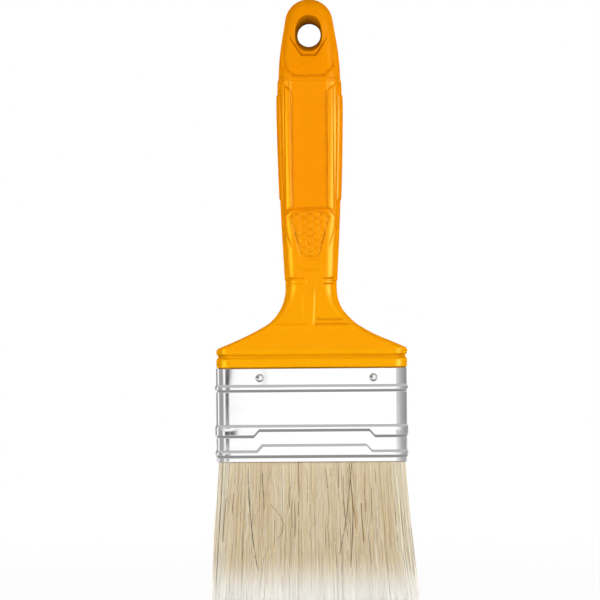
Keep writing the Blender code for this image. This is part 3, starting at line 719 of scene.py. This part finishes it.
# small dents of the sheet: x, height, reach across, reach up, depth
dents = (
    (-32.8, 12.2, 2.3, 1.3, 0.3), (-33.6, 35.0, 1.7, 3.4, 0.11), (33.9, 12.4, 0.9, 0.9, 0.2),
    (-33.6, 3.2, 1.0, 0.8, 0.14), (33.4, 3.0, 1.1, 0.8, 0.14), (-33.8, 28.9, 1.0, 0.8, 0.12),
    (33.6, 28.9, 1.0, 0.8, 0.12),
)
nailDent = {"depth": 0.1, "reach": 2.6}


def foldLines():  # (height, proud, half width of the raised middle) from the mouth's roll to the rim's
    lines = [(ferrule["sheet"] / 2, 0.0, 0.0)]
    for low, high, lowJog, highJog in beads:
        lines += [(low, 0.0, lowJog), (low + ferrule["beadSlope"], 1.0, lowJog)]
        lines += [(high - ferrule["beadSlope"], 1.0, highJog), (high, 0.0, highJog)]
    lines.append((ferrule["height"] - ferrule["sheet"] / 2, 0.0, 0.0))
    return lines


def ferruleRows():  # (fold below, fold above, place between them)
    rows = []
    folds = foldLines()
    for low, high in zip(folds, folds[1:]):
        if low[1] != high[1]:
            places = [step / ferrule["slopeRows"] for step in range(ferrule["slopeRows"])]
        else:  # rows close to both folds keep the flat between them flat
            nearFold = ferrule["foldRow"] / (high[0] - low[0])
            places = [0.0, nearFold, 0.5, 1 - nearFold]
        rows += [(low, high, t) for t in places]
    return rows + [(folds[-1], folds[-1], 0.0)]


def beadRise(t):  # an even slope with a small bend at both ends
    bend = ferrule["bendShare"]
    if t < bend:
        return t * t / (2 * bend * (1 - bend))
    if t > 1 - bend:
        return 1 - (1 - t) ** 2 / (2 * bend * (1 - bend))
    return (t - bend / 2) / (1 - bend)


def jogRise(jogHalf, x):  # how far a bead's edge is raised over its middle
    if not jogHalf:
        return np.zeros(x.shape)
    inside = jogHalf + ferrule["jogRun"] - np.abs(x - ferrule["jogX"])
    return ferrule["jogRise"] * np.clip(inside / ferrule["jogRun"], 0.0, 1.0)


def rolledLip(outerRing, innerRing, direction):  # a rolled edge between the two walls
    made = []
    for degrees in ferrule["lipTurns"]:
        angle = math.radians(degrees)
        t = (1 - math.cos(angle)) / 2
        ring = outerRing * (1 - t) + innerRing * t
        ring[:, 2] += direction * ferrule["sheet"] / 2 * math.sin(angle)
        made.append(ring)
    return made


def makeFerrule(material):
    halfX, halfY, radius = ferrule["halfX"], ferrule["halfY"], ferrule["cornerRadius"]
    plainX, plainY, normalX, normalY = roundedRing(halfX, halfY, radius, ferrule["columns"])
    onFace = np.abs(normalY) > ferrule["squareOn"]
    onLeft = normalX < -ferrule["squareOn"]
    bow = ferrule["bow"] * np.maximum(0.0, 1 - (plainX / (halfX - radius)) ** 2) * onFace
    onSeam = ramp(ferrule["seamHalf"] - np.abs(plainY), ferrule["seamSlope"]) * onLeft
    nailSpots = [middleOf(node) for node in ("nail_front_left", "nail_front_right")]
    outer, inner = [], []
    for (low, lowProud, lowJog), (high, highProud, highJog), t in ferruleRows():
        z = (low + jogRise(lowJog, plainX)) * (1 - t) + (high + jogRise(highJog, plainX)) * t
        proud = ferrule["beadProud"] * (lowProud + (highProud - lowProud) * beadRise(t))
        push = proud + ferrule["seamProud"] * onSeam + bow
        for spot in nailSpots:
            away = np.hypot(plainX - spot.x, z + mouthLevel - spot.z)
            push = push - nailDent["depth"] * bell(away, nailDent["reach"])
        for dentX, dentZ, reachX, reachZ, depth in dents:
            away = ((plainX - dentX) / reachX) ** 2 + ((z - dentZ) / reachZ) ** 2
            push = push - depth * np.exp(-away)
        for reach, walls in ((0.0, outer), (-ferrule["sheet"], inner)):
            x = plainX + normalX * (push + reach)
            y = plainY + normalY * (push + reach)
            walls.append(pointsOf(x, y, z + mouthLevel))
    rim = rolledLip(outer[-1], inner[-1], 1)
    mouth = rolledLip(inner[0], outer[0], -1)
    rings = outer + rim + inner[::-1] + mouth + [outer[0]]
    mesh = mendMesh(skinRings("ferrule", np.array(rings), closeEnds=False), ferrule["weld"])
    return addPiece("tinplate_ferrule", mesh, material, "tinplate", "ferrule")


tinLook = {
    "name": "brightTinplate",
    "shader": {"Metallic": 1.0},
    "tone": {"Colour": colourOf(0.985, 0.98, 0.975), "Other Colour": colourOf(0.96, 0.96, 0.955),
             "Scale": 90.0, "Contrast": 1.5},
    "grain": {"Scale": 900.0, "Stretch X": 0.05, "Low": 0.09, "High": 0.14},
    "bump": 0.03,
    "bumpHeight": 0.02,
}
makeFerrule(grainedMaterial(tinLook))
print("ferrule made")


# nails: radius and height in mm, turned round their own axis

nail = {
    "headRadius": 1.65,
    "headHeight": 0.6,
    "edge": 0.2,
    "domeRows": 9,
    "domeTip": 0.02,
    "underside": ((0.05, 0.03), (0.12, 0.0)),  # in from the head's edge, and height
    "shank": 0.7,
    "length": 5.0,
    "point": 1.5,
    "pointRadius": 0.05,
    "sides": 40,
    "sharpAngle": 50.0,
}


def nailProfile():
    profile = []
    for step in range(nail["domeRows"] + 1):
        angle = math.radians(90 * step / nail["domeRows"])
        rise = nail["edge"] + (nail["headHeight"] - nail["edge"]) * math.cos(angle)
        profile.append((max(nail["domeTip"], nail["headRadius"] * math.sin(angle)), rise))
    profile += [(nail["headRadius"] - inset, rise) for inset, rise in nail["underside"]]
    profile += [(nail["shank"], 0.0), (nail["shank"], nail["point"] - nail["length"])]
    return profile + [(nail["pointRadius"], -nail["length"])]


def makeNails(material):
    angles = anglesRound(nail["sides"])
    for face, side in (("front", -1), ("back", 1)):
        for hand in ("left", "right"):
            node = f"nail_{face}_{hand}"
            low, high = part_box(node)
            middle = middleOf(node)
            underHead = (low.y if side < 0 else high.y) / mm - side * nail["headHeight"]
            rings = []
            for radius, rise in nailProfile()[::-1]:
                x = middle.x - side * radius * np.cos(angles)
                z = middle.z + radius * np.sin(angles)
                rings.append(pointsOf(x, np.full(angles.shape, underHead + side * rise), z))
            mesh = mendMesh(skinRings(node, np.array(rings)))
            mesh.set_sharp_from_angle(angle=math.radians(nail["sharpAngle"]))
            addPiece(f"round_nail_{face}_{hand}", mesh, material, "nail_steel", node)


nailLook = {
    "name": "nailSteel",
    "shader": {"Metallic": 1.0},
    "tone": {"Colour": colourOf(0.93, 0.93, 0.92), "Other Colour": colourOf(0.68, 0.68, 0.67),
             "Scale": 900.0, "Contrast": 2.2},
    "grain": {"Scale": 4000.0, "Low": 0.07, "High": 0.14},
    "bump": 0.06,
    "bumpHeight": 0.03,
}
makeNails(grainedMaterial(nailLook))
print("nails made")


# bristle: mm, hairs run from the ferrule's mouth down to the trimmed ends

bristle = {
    "across": 290,
    "deep": 15,
    "joints": 8,
    "radius": 0.125,
    "radiusShares": (0.75, 1.25),
    "tipWidth": 1.3,  # as a share of the root's
    "towardsFace": 1.9,
    "softening": 0.7,
    "endTurn": 12,  # how late the shading turns to the narrow sides
    "faceTurn": 2.5,  # how soon it turns to the faces
    "rootLevel": mouthLevel + 4.0,
    "innerHalf": (36.8, 7.3),
    "innerRadius": 4.5,
    "wallGap": 0.05,
    "endGap": 0.2,
    "trim": (0.25, 2.5),  # how far tips stay above the trimmed level: mean and most
    "offCentre": -0.2,
    "lean": 0.25,
    "bendPower": 1.7,
    "splay": 1.55,  # the ends spread further on the right
    "splayFrom": 0.2,
    "splayAcross": 1.5,
    "splayPower": 3.5,
    "spreadX": (0.3, 0.55),
    "spreadY": 0.25,
    "bulge": 0.4,
    "bulgeOver": 4.0,
    "flareX": 3.7,
    "flareY": 0.5,
    "spacerHalf": 30.8,
    "spacerLow": mouthLevel + 2.0,
    "closing": 24.0,
    "bankGap": 2.6,
    "spacerPlace": 2.866,
    "clumps": 70,
    "clumpPull": 0.12,
    "pullShares": (0.3, 1.0),
    "clumpTone": 0.05,
    "tipJitter": 0.22,
    "deepJitter": 0.4,
    "wave": 0.3,
    "deepWave": 0.5,
    "waveTurns": (0.5, 1.6),
    "tone": (0.56, 0.15),  # mean and spread
    "toneLimits": (0.22, 1.0),
    "paintedLightAtEnds": (0.93, 0.06, 0.35),  # painted light on the narrow ends: share of the half width where hairs turn paler, over what, how much
    "darkShare": 0.01,
    "darkTones": (0.0, 0.18),
    "seed": 11,
}

# hairs that stray over a face, in mm, with lean and fan as slopes
looseHairs = {
    "brown": {"count": 48, "lowest": 16.0, "length": (5.0, 18.0), "lean": 0.05, "curl": 0.4,
              "tones": (0.09, 0.24)},
    "pale": {"count": 120, "lowest": 18.0, "length": (9.0, 28.0), "lean": 0.1, "curl": 0.6,
             "tones": (0.32, 0.95)},
}
looseReach = {"start": 34.0, "limit": 35.5, "above": 2.0, "lowest": 1.0, "fan": 0.07, "knots": 6}

# single dark hairs on the front face: (x, z) from the ferrule down, and tone
strayHairs = (
    (((-25.1, 57.0), (-25.1, 51.0), (-24.9, 42.5), (-24.2, 32.0), (-22.9, 20.0), (-21.5, 12.0)), 0.0),
    (((-19.5, 57.0), (-19.6, 51.0), (-19.5, 48.0), (-19.3, 45.0), (-19.0, 40.0), (-18.8, 36.0)), 0.04),
    (((14.6, 57.0), (14.9, 50.0), (15.6, 42.0), (16.1, 34.0), (15.6, 24.0), (14.9, 13.0)), 0.06),
    (((15.9, 57.0), (15.2, 50.0), (14.4, 42.0), (13.6, 34.0), (12.2, 26.0), (10.6, 18.0)), 0.09),
    (((-16.2, 38.0), (-14.6, 36.0), (-12.4, 33.5), (-11.2, 30.0), (-11.8, 26.5), (-14.0, 24.5)), 0.1),
)
strayLay = {"proud": 0.12, "over": 6.0, "darkTone": 0.1, "darkWidth": 1.2, "paleWidth": 0.95}


def packAt(level):  # half width, half depth, place of the parting and half its gap, at a level
    flare = np.maximum(0.0, 1 - level / mouthLevel)
    out = bristle["bulge"] * ramp(mouthLevel - level, bristle["bulgeOver"]) - bristle["wallGap"]
    halfX = bristle["innerHalf"][0] - bristle["endGap"] + bristle["flareX"] * flare
    halfY = bristle["innerHalf"][1] + out + (bristle["flareY"] - bristle["bulge"]) * flare
    parted = np.clip(1 - (bristle["spacerLow"] - level) / bristle["closing"], 0.0, 1.0)
    place = halfY / 3 + (bristle["spacerPlace"] - halfY / 3) * parted
    return halfX, halfY, place, bristle["bankGap"] / 2 * parted


def shadeTogether(mesh, points, ring, corners):  # hairs of a pack shade together, as one soft face
    hairs = len(points)
    halfX, halfY, _, _ = packAt(points[..., 2])
    shareX = np.clip(np.abs(points[..., 0]) / halfX, 0.0, 1.0)
    endwise = np.sign(points[..., 0]) * shareX ** bristle["endTurn"]
    facewise = np.clip(points[..., 1] / halfY * bristle["faceTurn"], -1.0, 1.0)
    outward = pointsOf(endwise, facewise, np.zeros(halfX.shape))
    soft = bristle["softening"]
    normals = np.broadcast_to(ring, points.shape) * (1 - soft) + outward * soft
    normals = normals / np.linalg.norm(normals, axis=-1, keepdims=True)
    cornerNormals = normals.reshape(-1, 3)[corners]
    cornerNormals[-6 * hairs:-3 * hairs] = (0.0, 0.0, 1.0)  # the closed roots, then the tips
    cornerNormals[-3 * hairs:] = (0.0, 0.0, -1.0)
    mesh.normals_split_custom_set(cornerNormals.tolist())


def hairTubes(name, paths, radii, tones):  # three-sided closed tubes along (hair, joint, xyz) paths
    hairs, joints, _ = paths.shape
    spin = np.random.default_rng(len(name)).uniform(0, 2 * math.pi, (hairs, 1, 1))
    corner = spin + np.arange(3) * 2 * math.pi / 3
    ring = pointsOf(np.cos(corner), np.sin(corner), np.zeros(corner.shape))
    width = np.linspace(1.0, bristle["tipWidth"], joints)
    width[-1] = 1.0
    points = paths[:, :, None, :] + ring * (radii[:, None] * width)[:, :, None, None]
    first = np.arange(hairs)[:, None, None] * joints * 3 + np.arange(joints - 1)[None, :, None] * 3
    here = first + np.arange(3)
    beside = first + (np.arange(3) + 1) % 3
    quads = np.stack([beside, here, here + 3, beside + 3], axis=-1).reshape(-1, 4)
    start = np.arange(hairs)[:, None] * joints * 3
    roots = start + np.array([[0, 1, 2]])
    tips = start + (joints - 1) * 3 + np.array([[0, 2, 1]])
    mesh = bpy.data.meshes.new(name)
    faces = quads.tolist() + roots.tolist() + tips.tolist()
    mesh.from_pydata((points.reshape(-1, 3) * mm).tolist(), [], faces)
    tone = np.repeat(tones, joints * 3)
    along = np.clip(points[..., 2].reshape(-1) / mouthLevel, 0.0, 1.0)
    for label, values in (("hairTone", tone), ("hairAlong", along)):
        mesh.attributes.new(label, "FLOAT", "POINT").data.foreach_set("value", values.astype(np.float32))
    corners = np.zeros(len(mesh.loops), np.int32)
    mesh.loops.foreach_get("vertex_index", corners)
    uv = np.stack([tone[corners], along[corners]], axis=-1)
    mesh.uv_layers.new(name="OFBake").data.foreach_set("uv", uv.astype(np.float32).ravel())
    mesh.shade_smooth()
    shadeTogether(mesh, points, ring, corners)
    return mesh


def bankTones(u, clump, rng):  # alike within a clump, paler at the narrow ends as painted light, and now and then dark
    clumpTone = rng.normal(0, bristle["clumpTone"], bristle["clumps"])
    start, over, endLight = bristle["paintedLightAtEnds"]
    # painted light makes the hairs at the narrow ends paler
    tones = rng.normal(*bristle["tone"], u.size) + clumpTone[clump] + endLight * ramp(np.abs(u) - start, over)
    tones = np.clip(tones, *bristle["toneLimits"])
    dark = rng.uniform(0, 1, u.size) < bristle["darkShare"]
    return np.where(dark, rng.uniform(*bristle["darkTones"], u.size), tones)


def bankHairs(bank, rng):  # paths, radii and tones of the front (-1), middle (0) or back (1) bank
    across, deep, joints = bristle["across"], bristle["deep"], bristle["joints"]
    cells = np.arange(across * deep)
    count = cells.size
    u = ((cells % across) + rng.uniform(0, 1, count)) / across * 2 - 1
    v = ((cells // across) + rng.uniform(0, 1, count)) / deep
    if bank < 0:  # the outer banks are densest at their faces
        v = v ** bristle["towardsFace"]
    elif bank > 0:
        v = 1 - (1 - v) ** bristle["towardsFace"]
    tipMean, tipMost = bristle["trim"]
    tipLevel = rng.exponential(tipMean, count).clip(0, tipMost)
    s = np.linspace(0, 1, joints)[None, :]
    level = bristle["rootLevel"] + (tipLevel[:, None] - bristle["rootLevel"]) * s
    halfX, halfY, place, gap = packAt(level)
    nearEnd = ramp(np.abs(u) * bristle["innerHalf"][0] - bristle["spacerHalf"], bristle["bankGap"])[:, None]
    gap = gap * (1 - nearEnd)
    low = -halfY if bank < 0 else (2 * bank - 1) * place + gap
    high = halfY if bank > 0 else (2 * bank + 1) * place - gap
    y = low + (high - low) * v[:, None]
    radius = bristle["innerRadius"]
    intoCorner = np.maximum(0.0, np.abs(y) - (halfY - radius))
    reach = halfX - radius + np.sqrt(np.maximum(0.0, radius**2 - intoCorner**2))
    x = u[:, None] * reach
    clumpPlace = np.sort(rng.uniform(-1, 1, bristle["clumps"]))
    clump = np.abs(u[:, None] - clumpPlace[None, :]).argmin(axis=1)
    pull = (clumpPlace[clump] - u) * bristle["innerHalf"][0] * bristle["clumpPull"]
    pull = pull * rng.uniform(*bristle["pullShares"], count)
    tipX = bristle["lean"] + pull + rng.normal(0, bristle["tipJitter"], count)
    tipY = rng.normal(0, bristle["tipJitter"] * bristle["deepJitter"], count)
    bend = s ** bristle["bendPower"]
    phase = rng.uniform(0, 2 * math.pi, (count, 2))
    turns = rng.uniform(*bristle["waveTurns"], (count, 2))
    size = rng.normal(0, bristle["wave"], (count, 2))
    hump = s * (1 - s) * 4
    waveX = size[:, :1] * np.sin(2 * math.pi * turns[:, :1] * s + phase[:, :1]) * hump
    waveY = size[:, 1:] * bristle["deepWave"] * np.sin(2 * math.pi * turns[:, 1:] * s + phase[:, 1:]) * hump
    spreadLeft, spreadRight = bristle["spreadX"]
    x = np.clip(x + tipX[:, None] * bend + waveX, -halfX - spreadLeft * s, halfX + spreadRight * s)
    fromMiddle = np.clip((u[:, None] - bristle["splayFrom"]) / (1 - bristle["splayFrom"]), 0.0, 1.0)
    splay = bristle["splay"] * s ** bristle["splayPower"]
    x = x + bristle["offCentre"] + splay * fromMiddle ** bristle["splayAcross"]
    spreadY = bristle["spreadY"] * s
    y = np.clip(y + tipY[:, None] * bend + waveY, -halfY - spreadY, halfY + spreadY)
    radii = bristle["radius"] * rng.uniform(*bristle["radiusShares"], count)
    return pointsOf(x, y, level), radii, bankTones(u, clump, rng)


def looseRoutes(kind, rng):  # routes of (x, z), each with a tone
    made = []
    limit = looseReach["limit"]
    t = np.linspace(0, 1, looseReach["knots"])
    for _ in range(kind["count"]):
        startX = rng.uniform(-looseReach["start"], looseReach["start"])
        startZ = rng.uniform(kind["lowest"], mouthLevel + looseReach["above"])
        length = rng.uniform(*kind["length"])
        lean = startX / bristle["innerHalf"][0] * looseReach["fan"] + rng.normal(0, kind["lean"])
        curl = rng.normal(0, kind["curl"])
        x = np.clip(startX + lean * length * t + curl * 4 * t * (1 - t), -limit, limit)
        z = np.maximum(looseReach["lowest"], startZ - length * t)
        made.append((tuple(zip(x, z)), rng.uniform(*kind["tones"])))
    return made


def strayPaths(side, routes):  # single hairs that lie on the front (-1) or back (1) of the pack
    paths = []
    t = np.linspace(0, 1, bristle["joints"])
    for route, _ in routes:
        knots = np.linspace(0, 1, len(route))
        x = np.interp(t, knots, [x for x, _ in route])
        z = np.interp(t, knots, [z for _, z in route])
        _, halfY, _, _ = packAt(z)
        y = side * (halfY + strayLay["proud"] * ramp(mouthLevel - z, strayLay["over"]))
        paths.append(pointsOf(x, y, z))
    tones = np.array([tone for _, tone in routes])
    widths = np.where(tones < strayLay["darkTone"], strayLay["darkWidth"], strayLay["paleWidth"])
    return np.array(paths), bristle["radius"] * widths, tones


hairLook = {
    "name": "paleBristle",
    "shader": {"Roughness": 0.55, "Specular IOR Level": 0.1},
    "tones": (
        (0.0, (0.05, 0.028, 0.012)), (0.12, (0.36, 0.22, 0.10)), (0.25, (0.60, 0.45, 0.27)),
        (0.55, (0.765, 0.645, 0.442)), (1.0, (0.83, 0.76, 0.60)),
    ),
    "tintTurns": 170.0,  # warm and cool hairs, by turns
    "warmTint": (1.02, 0.99, 0.9),
    "coolTint": (0.98, 1.0, 1.06),
    "paintedTipLightBelow": 0.35,  # share of the free length over which the tips are painted paler, as painted light
    "paintedTipLight": (1.0, 0.98, 0.92),
}


def bristleMaterial(look):
    material, tree, shader = newMaterial(look["name"], look["shader"])
    tone = addNode(tree, "Attribute", attribute_name="hairTone").outputs["Fac"]
    along = addNode(tree, "Attribute", attribute_name="hairAlong").outputs["Fac"]
    turns = mathNode(tree, "SINE", mathNode(tree, "MULTIPLY", tone, look["tintTurns"]))
    share = mapRange(tree, turns, -1.0, 1.0)
    tint = mixColours(tree, share, colourOf(*look["warmTint"]), colourOf(*look["coolTint"]))
    tinted = mixColours(tree, 1.0, colourRamp(tree, tone, look["tones"]), tint, "MULTIPLY")
    # painted light: the colour turns paler towards the tips, which lie in shade near the floor
    nearTip = mapRange(tree, along, look["paintedTipLightBelow"], 0.0, interpolation_type="SMOOTHSTEP")
    colour = mixColours(tree, nearTip, tinted, colourOf(*look["paintedTipLight"]))
    setInputs(tree, shader, {"Base Color": colour})
    return material


def makeBristle(material):
    rng = np.random.default_rng(bristle["seed"])
    made = []
    for bank, name in ((-1, "front"), (0, "middle"), (1, "back")):
        hairs = bankHairs(bank, rng)
        if bank:
            routes = looseRoutes(looseHairs["brown"], rng) + looseRoutes(looseHairs["pale"], rng)
            if bank < 0:
                routes += strayHairs
            hairs = [np.concatenate(both) for both in zip(hairs, strayPaths(bank, routes))]
        mesh = hairTubes("bristle_" + name, *hairs)
        made.append(addPiece("bristle_hair_" + name, mesh, material, "bristle", "bristle_bank_" + name))
    return made


hairPieces = makeBristle(bristleMaterial(hairLook))
print("bristle made")


# resin and spacers keep their solids, inside the ferrule

resinLook = {
    "name": "amberResin",
    "shader": {"IOR": 1.52},
    "tone": {"Colour": colourOf(0.55, 0.30, 0.08), "Other Colour": colourOf(0.42, 0.20, 0.05),
             "Scale": 220.0, "Contrast": 2.0},
    "grain": {"Scale": 900.0, "Low": 0.18, "High": 0.34},
    "bump": 0.2,
    "bumpHeight": 0.1,
}
woodLook = {
    "name": "spacerWood",
    "shader": {},
    "tone": {"Colour": colourOf(0.62, 0.44, 0.26), "Other Colour": colourOf(0.47, 0.31, 0.17),
             "Scale": 260.0, "Contrast": 2.2},
    "grain": {"Scale": 1500.0, "Stretch X": 0.04, "Low": 0.62, "High": 0.85},
    "bump": 0.4,
    "bumpHeight": 0.12,
}


def dressNodes(material, slot, *names):
    for name in names:
        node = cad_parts[name]
        node.data.materials.clear()
        node.data.materials.append(material)


dressNodes(grainedMaterial(resinLook), "resin", "resin_setting")
dressNodes(grainedMaterial(woodLook), "spacer_wood", "spacer_front", "spacer_back")
print("resin and spacers dressed")


# studio: metres

studio = {
    "floorSize": 2.4,
    "floorTone": 0.8,
    "floorWhite": 0.94,
    "floorMirroredShade": (0.28, 1.05, 0.5),  # what metal sees of it, with painted shade near the object: near, far ahead, far at the sides
    "floorAside": (0.5, 0.95),  # how far sideways, as a share of the way, the sides start and are full
    "floorFade": (0.12, 0.42),
    "ambient": 0.12,
    "overhead": 0.5,
    "overheadFrom": (0.14, 0.32),  # how steeply up the horizon ends, as a sine
    "coolTint": (0.3, 0.35, 0.62),
    "warmTint": (1.0, 0.95, 0.5),
    "lampAim": 0.12,
    "cameraDistance": 1.5,
    "cameraTurn": 2.5,
    "frameHeight": 0.2366,
    "sensor": 36.0,
    "cameraX": -0.00444,
    "cameraZ": 0.1182,
    "roll": 0.49,
}
white = colourOf(1.0, 1.0, 1.0)
# softboxes: name, degrees from the front, distance, height, width and height of the box, watts
softboxes = (
    ("front", 0.0, 1.3, 0.35, 1.2, 0.8, 5.4),
    ("key", 48.0, 1.6, 0.75, 0.5, 0.7, 11.4),
    ("fill", -50.0, 1.6, 0.75, 0.5, 0.7, 8.5),
    ("back", 180.0, 1.3, 0.35, 1.2, 0.8, 5.4),
    ("backKey", -132.0, 1.6, 0.75, 0.5, 0.7, 11.4),
    ("backFill", 130.0, 1.6, 0.75, 0.5, 0.7, 8.5),
    ("right", 86.0, 1.5, 0.4, 0.6, 0.7, 1.6),
    ("top", 0.0, 0.01, 1.7, 1.0, 1.0, 2.0),
)
# boxes at the sides that only light the bristle
hairBoxes = (
    ("hairRight", 86.0, 1.5, 0.3, 0.6, 0.7, 9.5),
    ("hairLeft", -86.0, 1.5, 0.3, 0.6, 0.7, 9.5),
)
# boxes that only show as a gloss on the plastic
glossBoxes = (
    ("glossRight", 50.0, 1.6, 0.16, 1.3, 0.32, 370.0),
    ("glossLeft", -46.0, 1.6, 0.16, 0.9, 0.32, 84.0),
    ("glossBack", -155.0, 1.6, 0.12, 0.7, 0.25, 60.0),
    ("glossHighRight", 46.0, 1.3, 1.1, 0.8, 0.5, 12.0),
    ("glossHighLeft", -46.0, 1.3, 1.1, 0.8, 0.5, 12.0),
)
# what bright metal sees round the horizon: (degrees from the front, to the right positive, brightness)
horizon = (
    (-180, 1.0), (-170, 1.0), (-166, 0.25), (-132, 0.25), (-128, 1.0), (-106, 1.0), (-102, 0.33), (-56, 0.33),
    (-52, 1.0), (-37, 1.0), (-34, 0.1), (-12, 0.1), (-9, 0.3), (-6, 0.9), (-4.5, 1.15), (15, 1.15),
    (26, 0.62), (60, 0.44), (95, 0.33), (108, 0.3), (124, 0.28), (150, 0.28), (157, 1.0), (180, 1.0),
)


def raysThatSee(tree):  # rays from the camera, and rays mirrored in metal or passed on by glass
    path = addNode(tree, "LightPath").outputs
    mirror = mathNode(tree, "MAXIMUM", path["Is Glossy Ray"], path["Is Transmission Ray"])
    return path["Is Camera Ray"], mirror


def mixShaders(tree, share, first, second):
    return addNode(tree, "MixShader", {0: share, 1: first.outputs[0], 2: second.outputs[0]}).outputs[0]


def makeFloor():
    half = studio["floorSize"] / 2
    corners = [(-half, -half, 0), (half, -half, 0), (half, half, 0), (-half, half, 0)]
    mesh = bpy.data.meshes.new("floor")
    mesh.from_pydata(corners, [], [(0, 1, 2, 3)])
    floor = placeObject("floor", mesh)
    material = bpy.data.materials.new("paleFloor")
    material.use_nodes = True
    tree = material.node_tree
    tree.nodes.clear()
    camera, mirror = raysThatSee(tree)
    place = addNode(tree, "TexCoord").outputs["Object"]
    reach = addNode(tree, "VectorMath", {0: place}, operation="LENGTH").outputs["Value"]
    far = mapRange(tree, reach, *studio["floorFade"], interpolation_type="SMOOTHSTEP")
    seen = mathNode(tree, "MULTIPLY", camera, mapRange(tree, far, 0.0, 1.0, studio["floorWhite"]))
    across = mathNode(tree, "ABSOLUTE", addNode(tree, "SeparateXYZ", {0: place}).outputs["X"])
    sideways = mathNode(tree, "DIVIDE", across, reach)
    # the floor as metal sees it is darker near the object, a painted shade
    nearBy, ahead, aside = studio["floorMirroredShade"]
    farTone = mapRange(tree, sideways, *studio["floorAside"], ahead, aside)
    mirrored = mapRange(tree, far, 0.0, 1.0, nearBy, farTone)
    shown = mixColours(tree, mirror, white, mirrored)
    matte = addNode(tree, "BsdfDiffuse", {"Color": colourOf(*[studio["floorTone"]] * 3)})
    glow = addNode(tree, "Emission", {"Color": shown, "Strength": 1.0})
    surface = mixShaders(tree, mathNode(tree, "MAXIMUM", seen, mirror), matte, glow)
    addNode(tree, "OutputMaterial", {"Surface": surface})
    mesh.materials.append(material)


def makeWorld():
    world = bpy.data.worlds.new("studio")
    bpy.context.scene.world = world
    world.use_nodes = True
    tree = world.node_tree
    tree.nodes.clear()
    camera, mirror = raysThatSee(tree)
    place = addNode(tree, "TexCoord").outputs["Generated"]
    split = addNode(tree, "SeparateXYZ", {0: place}).outputs
    bearing = mathNode(tree, "ARCTAN2", split["X"], mathNode(tree, "MULTIPLY", split["Y"], -1.0))
    turn = mapRange(tree, bearing, -math.pi, math.pi)
    strip = colourRamp(tree, turn, [((degrees + 180) / 360, [bright] * 3) for degrees, bright in horizon])
    raised = mapRange(tree, split["Z"], *studio["overheadFrom"], interpolation_type="SMOOTHSTEP")
    sky = mixColours(tree, raised, strip, colourOf(*[studio["overhead"]] * 3))
    ambient = addNode(tree, "Background", {"Strength": studio["ambient"]})
    shown = addNode(tree, "Background", {"Color": mixColours(tree, camera, sky, white), "Strength": 1.0})
    surface = mixShaders(tree, mathNode(tree, "MAXIMUM", camera, mirror), ambient, shown)
    addNode(tree, "OutputWorld", {"Surface": surface})


def collectionOf(name, pieces):  # what a lamp's light is kept to
    kept = bpy.data.collections.new(name)
    for piece in pieces:
        kept.objects.link(piece)
    return kept


def makeLamps(boxes, onlyOn=None, asGloss=False):
    for name, degrees, distance, height, width, tall, watts in boxes:
        light = bpy.data.lights.new(name, "AREA")
        light.shape = "RECTANGLE"
        light.size = width
        light.size_y = tall
        light.energy = watts
        lamp = placeObject(name, light)
        bearing = math.radians(degrees)
        lamp.location = (distance * math.sin(bearing), -distance * math.cos(bearing), height)
        aim = Vector((0, 0, studio["lampAim"])) - lamp.location
        lamp.rotation_euler = aim.to_track_quat("-Z", "Y").to_euler()
        lamp.visible_camera = False
        lamp.visible_glossy = asGloss
        lamp.visible_diffuse = not asGloss
        if asGloss:
            light.color = studio["coolTint" if name == "glossRight" else "warmTint"]
        if onlyOn:
            lamp.light_linking.receiver_collection = onlyOn


def makeCamera():
    lens = bpy.data.cameras.new("photoCamera")
    lens.sensor_width = studio["sensor"]
    lens.lens = lens.sensor_width * studio["cameraDistance"] / studio["frameHeight"]
    camera = placeObject("photoCamera", lens)
    turn = math.radians(studio["cameraTurn"])
    place = Vector((studio["cameraX"], -studio["cameraDistance"], studio["cameraZ"]))
    place.rotate(Euler((0, 0, turn)))
    camera.location = place
    camera.rotation_euler = (math.pi / 2, math.radians(studio["roll"]), turn)
    bpy.context.scene.camera = camera


makeFloor()
makeWorld()
makeLamps(softboxes)
makeLamps(hairBoxes, onlyOn=collectionOf("hairyPieces", hairPieces))
makeLamps(glossBoxes, onlyOn=collectionOf("glossyPieces", [handlePiece]), asGloss=True)
makeCamera()
bpy.context.scene.view_settings.view_transform = "Standard"
print("studio made")
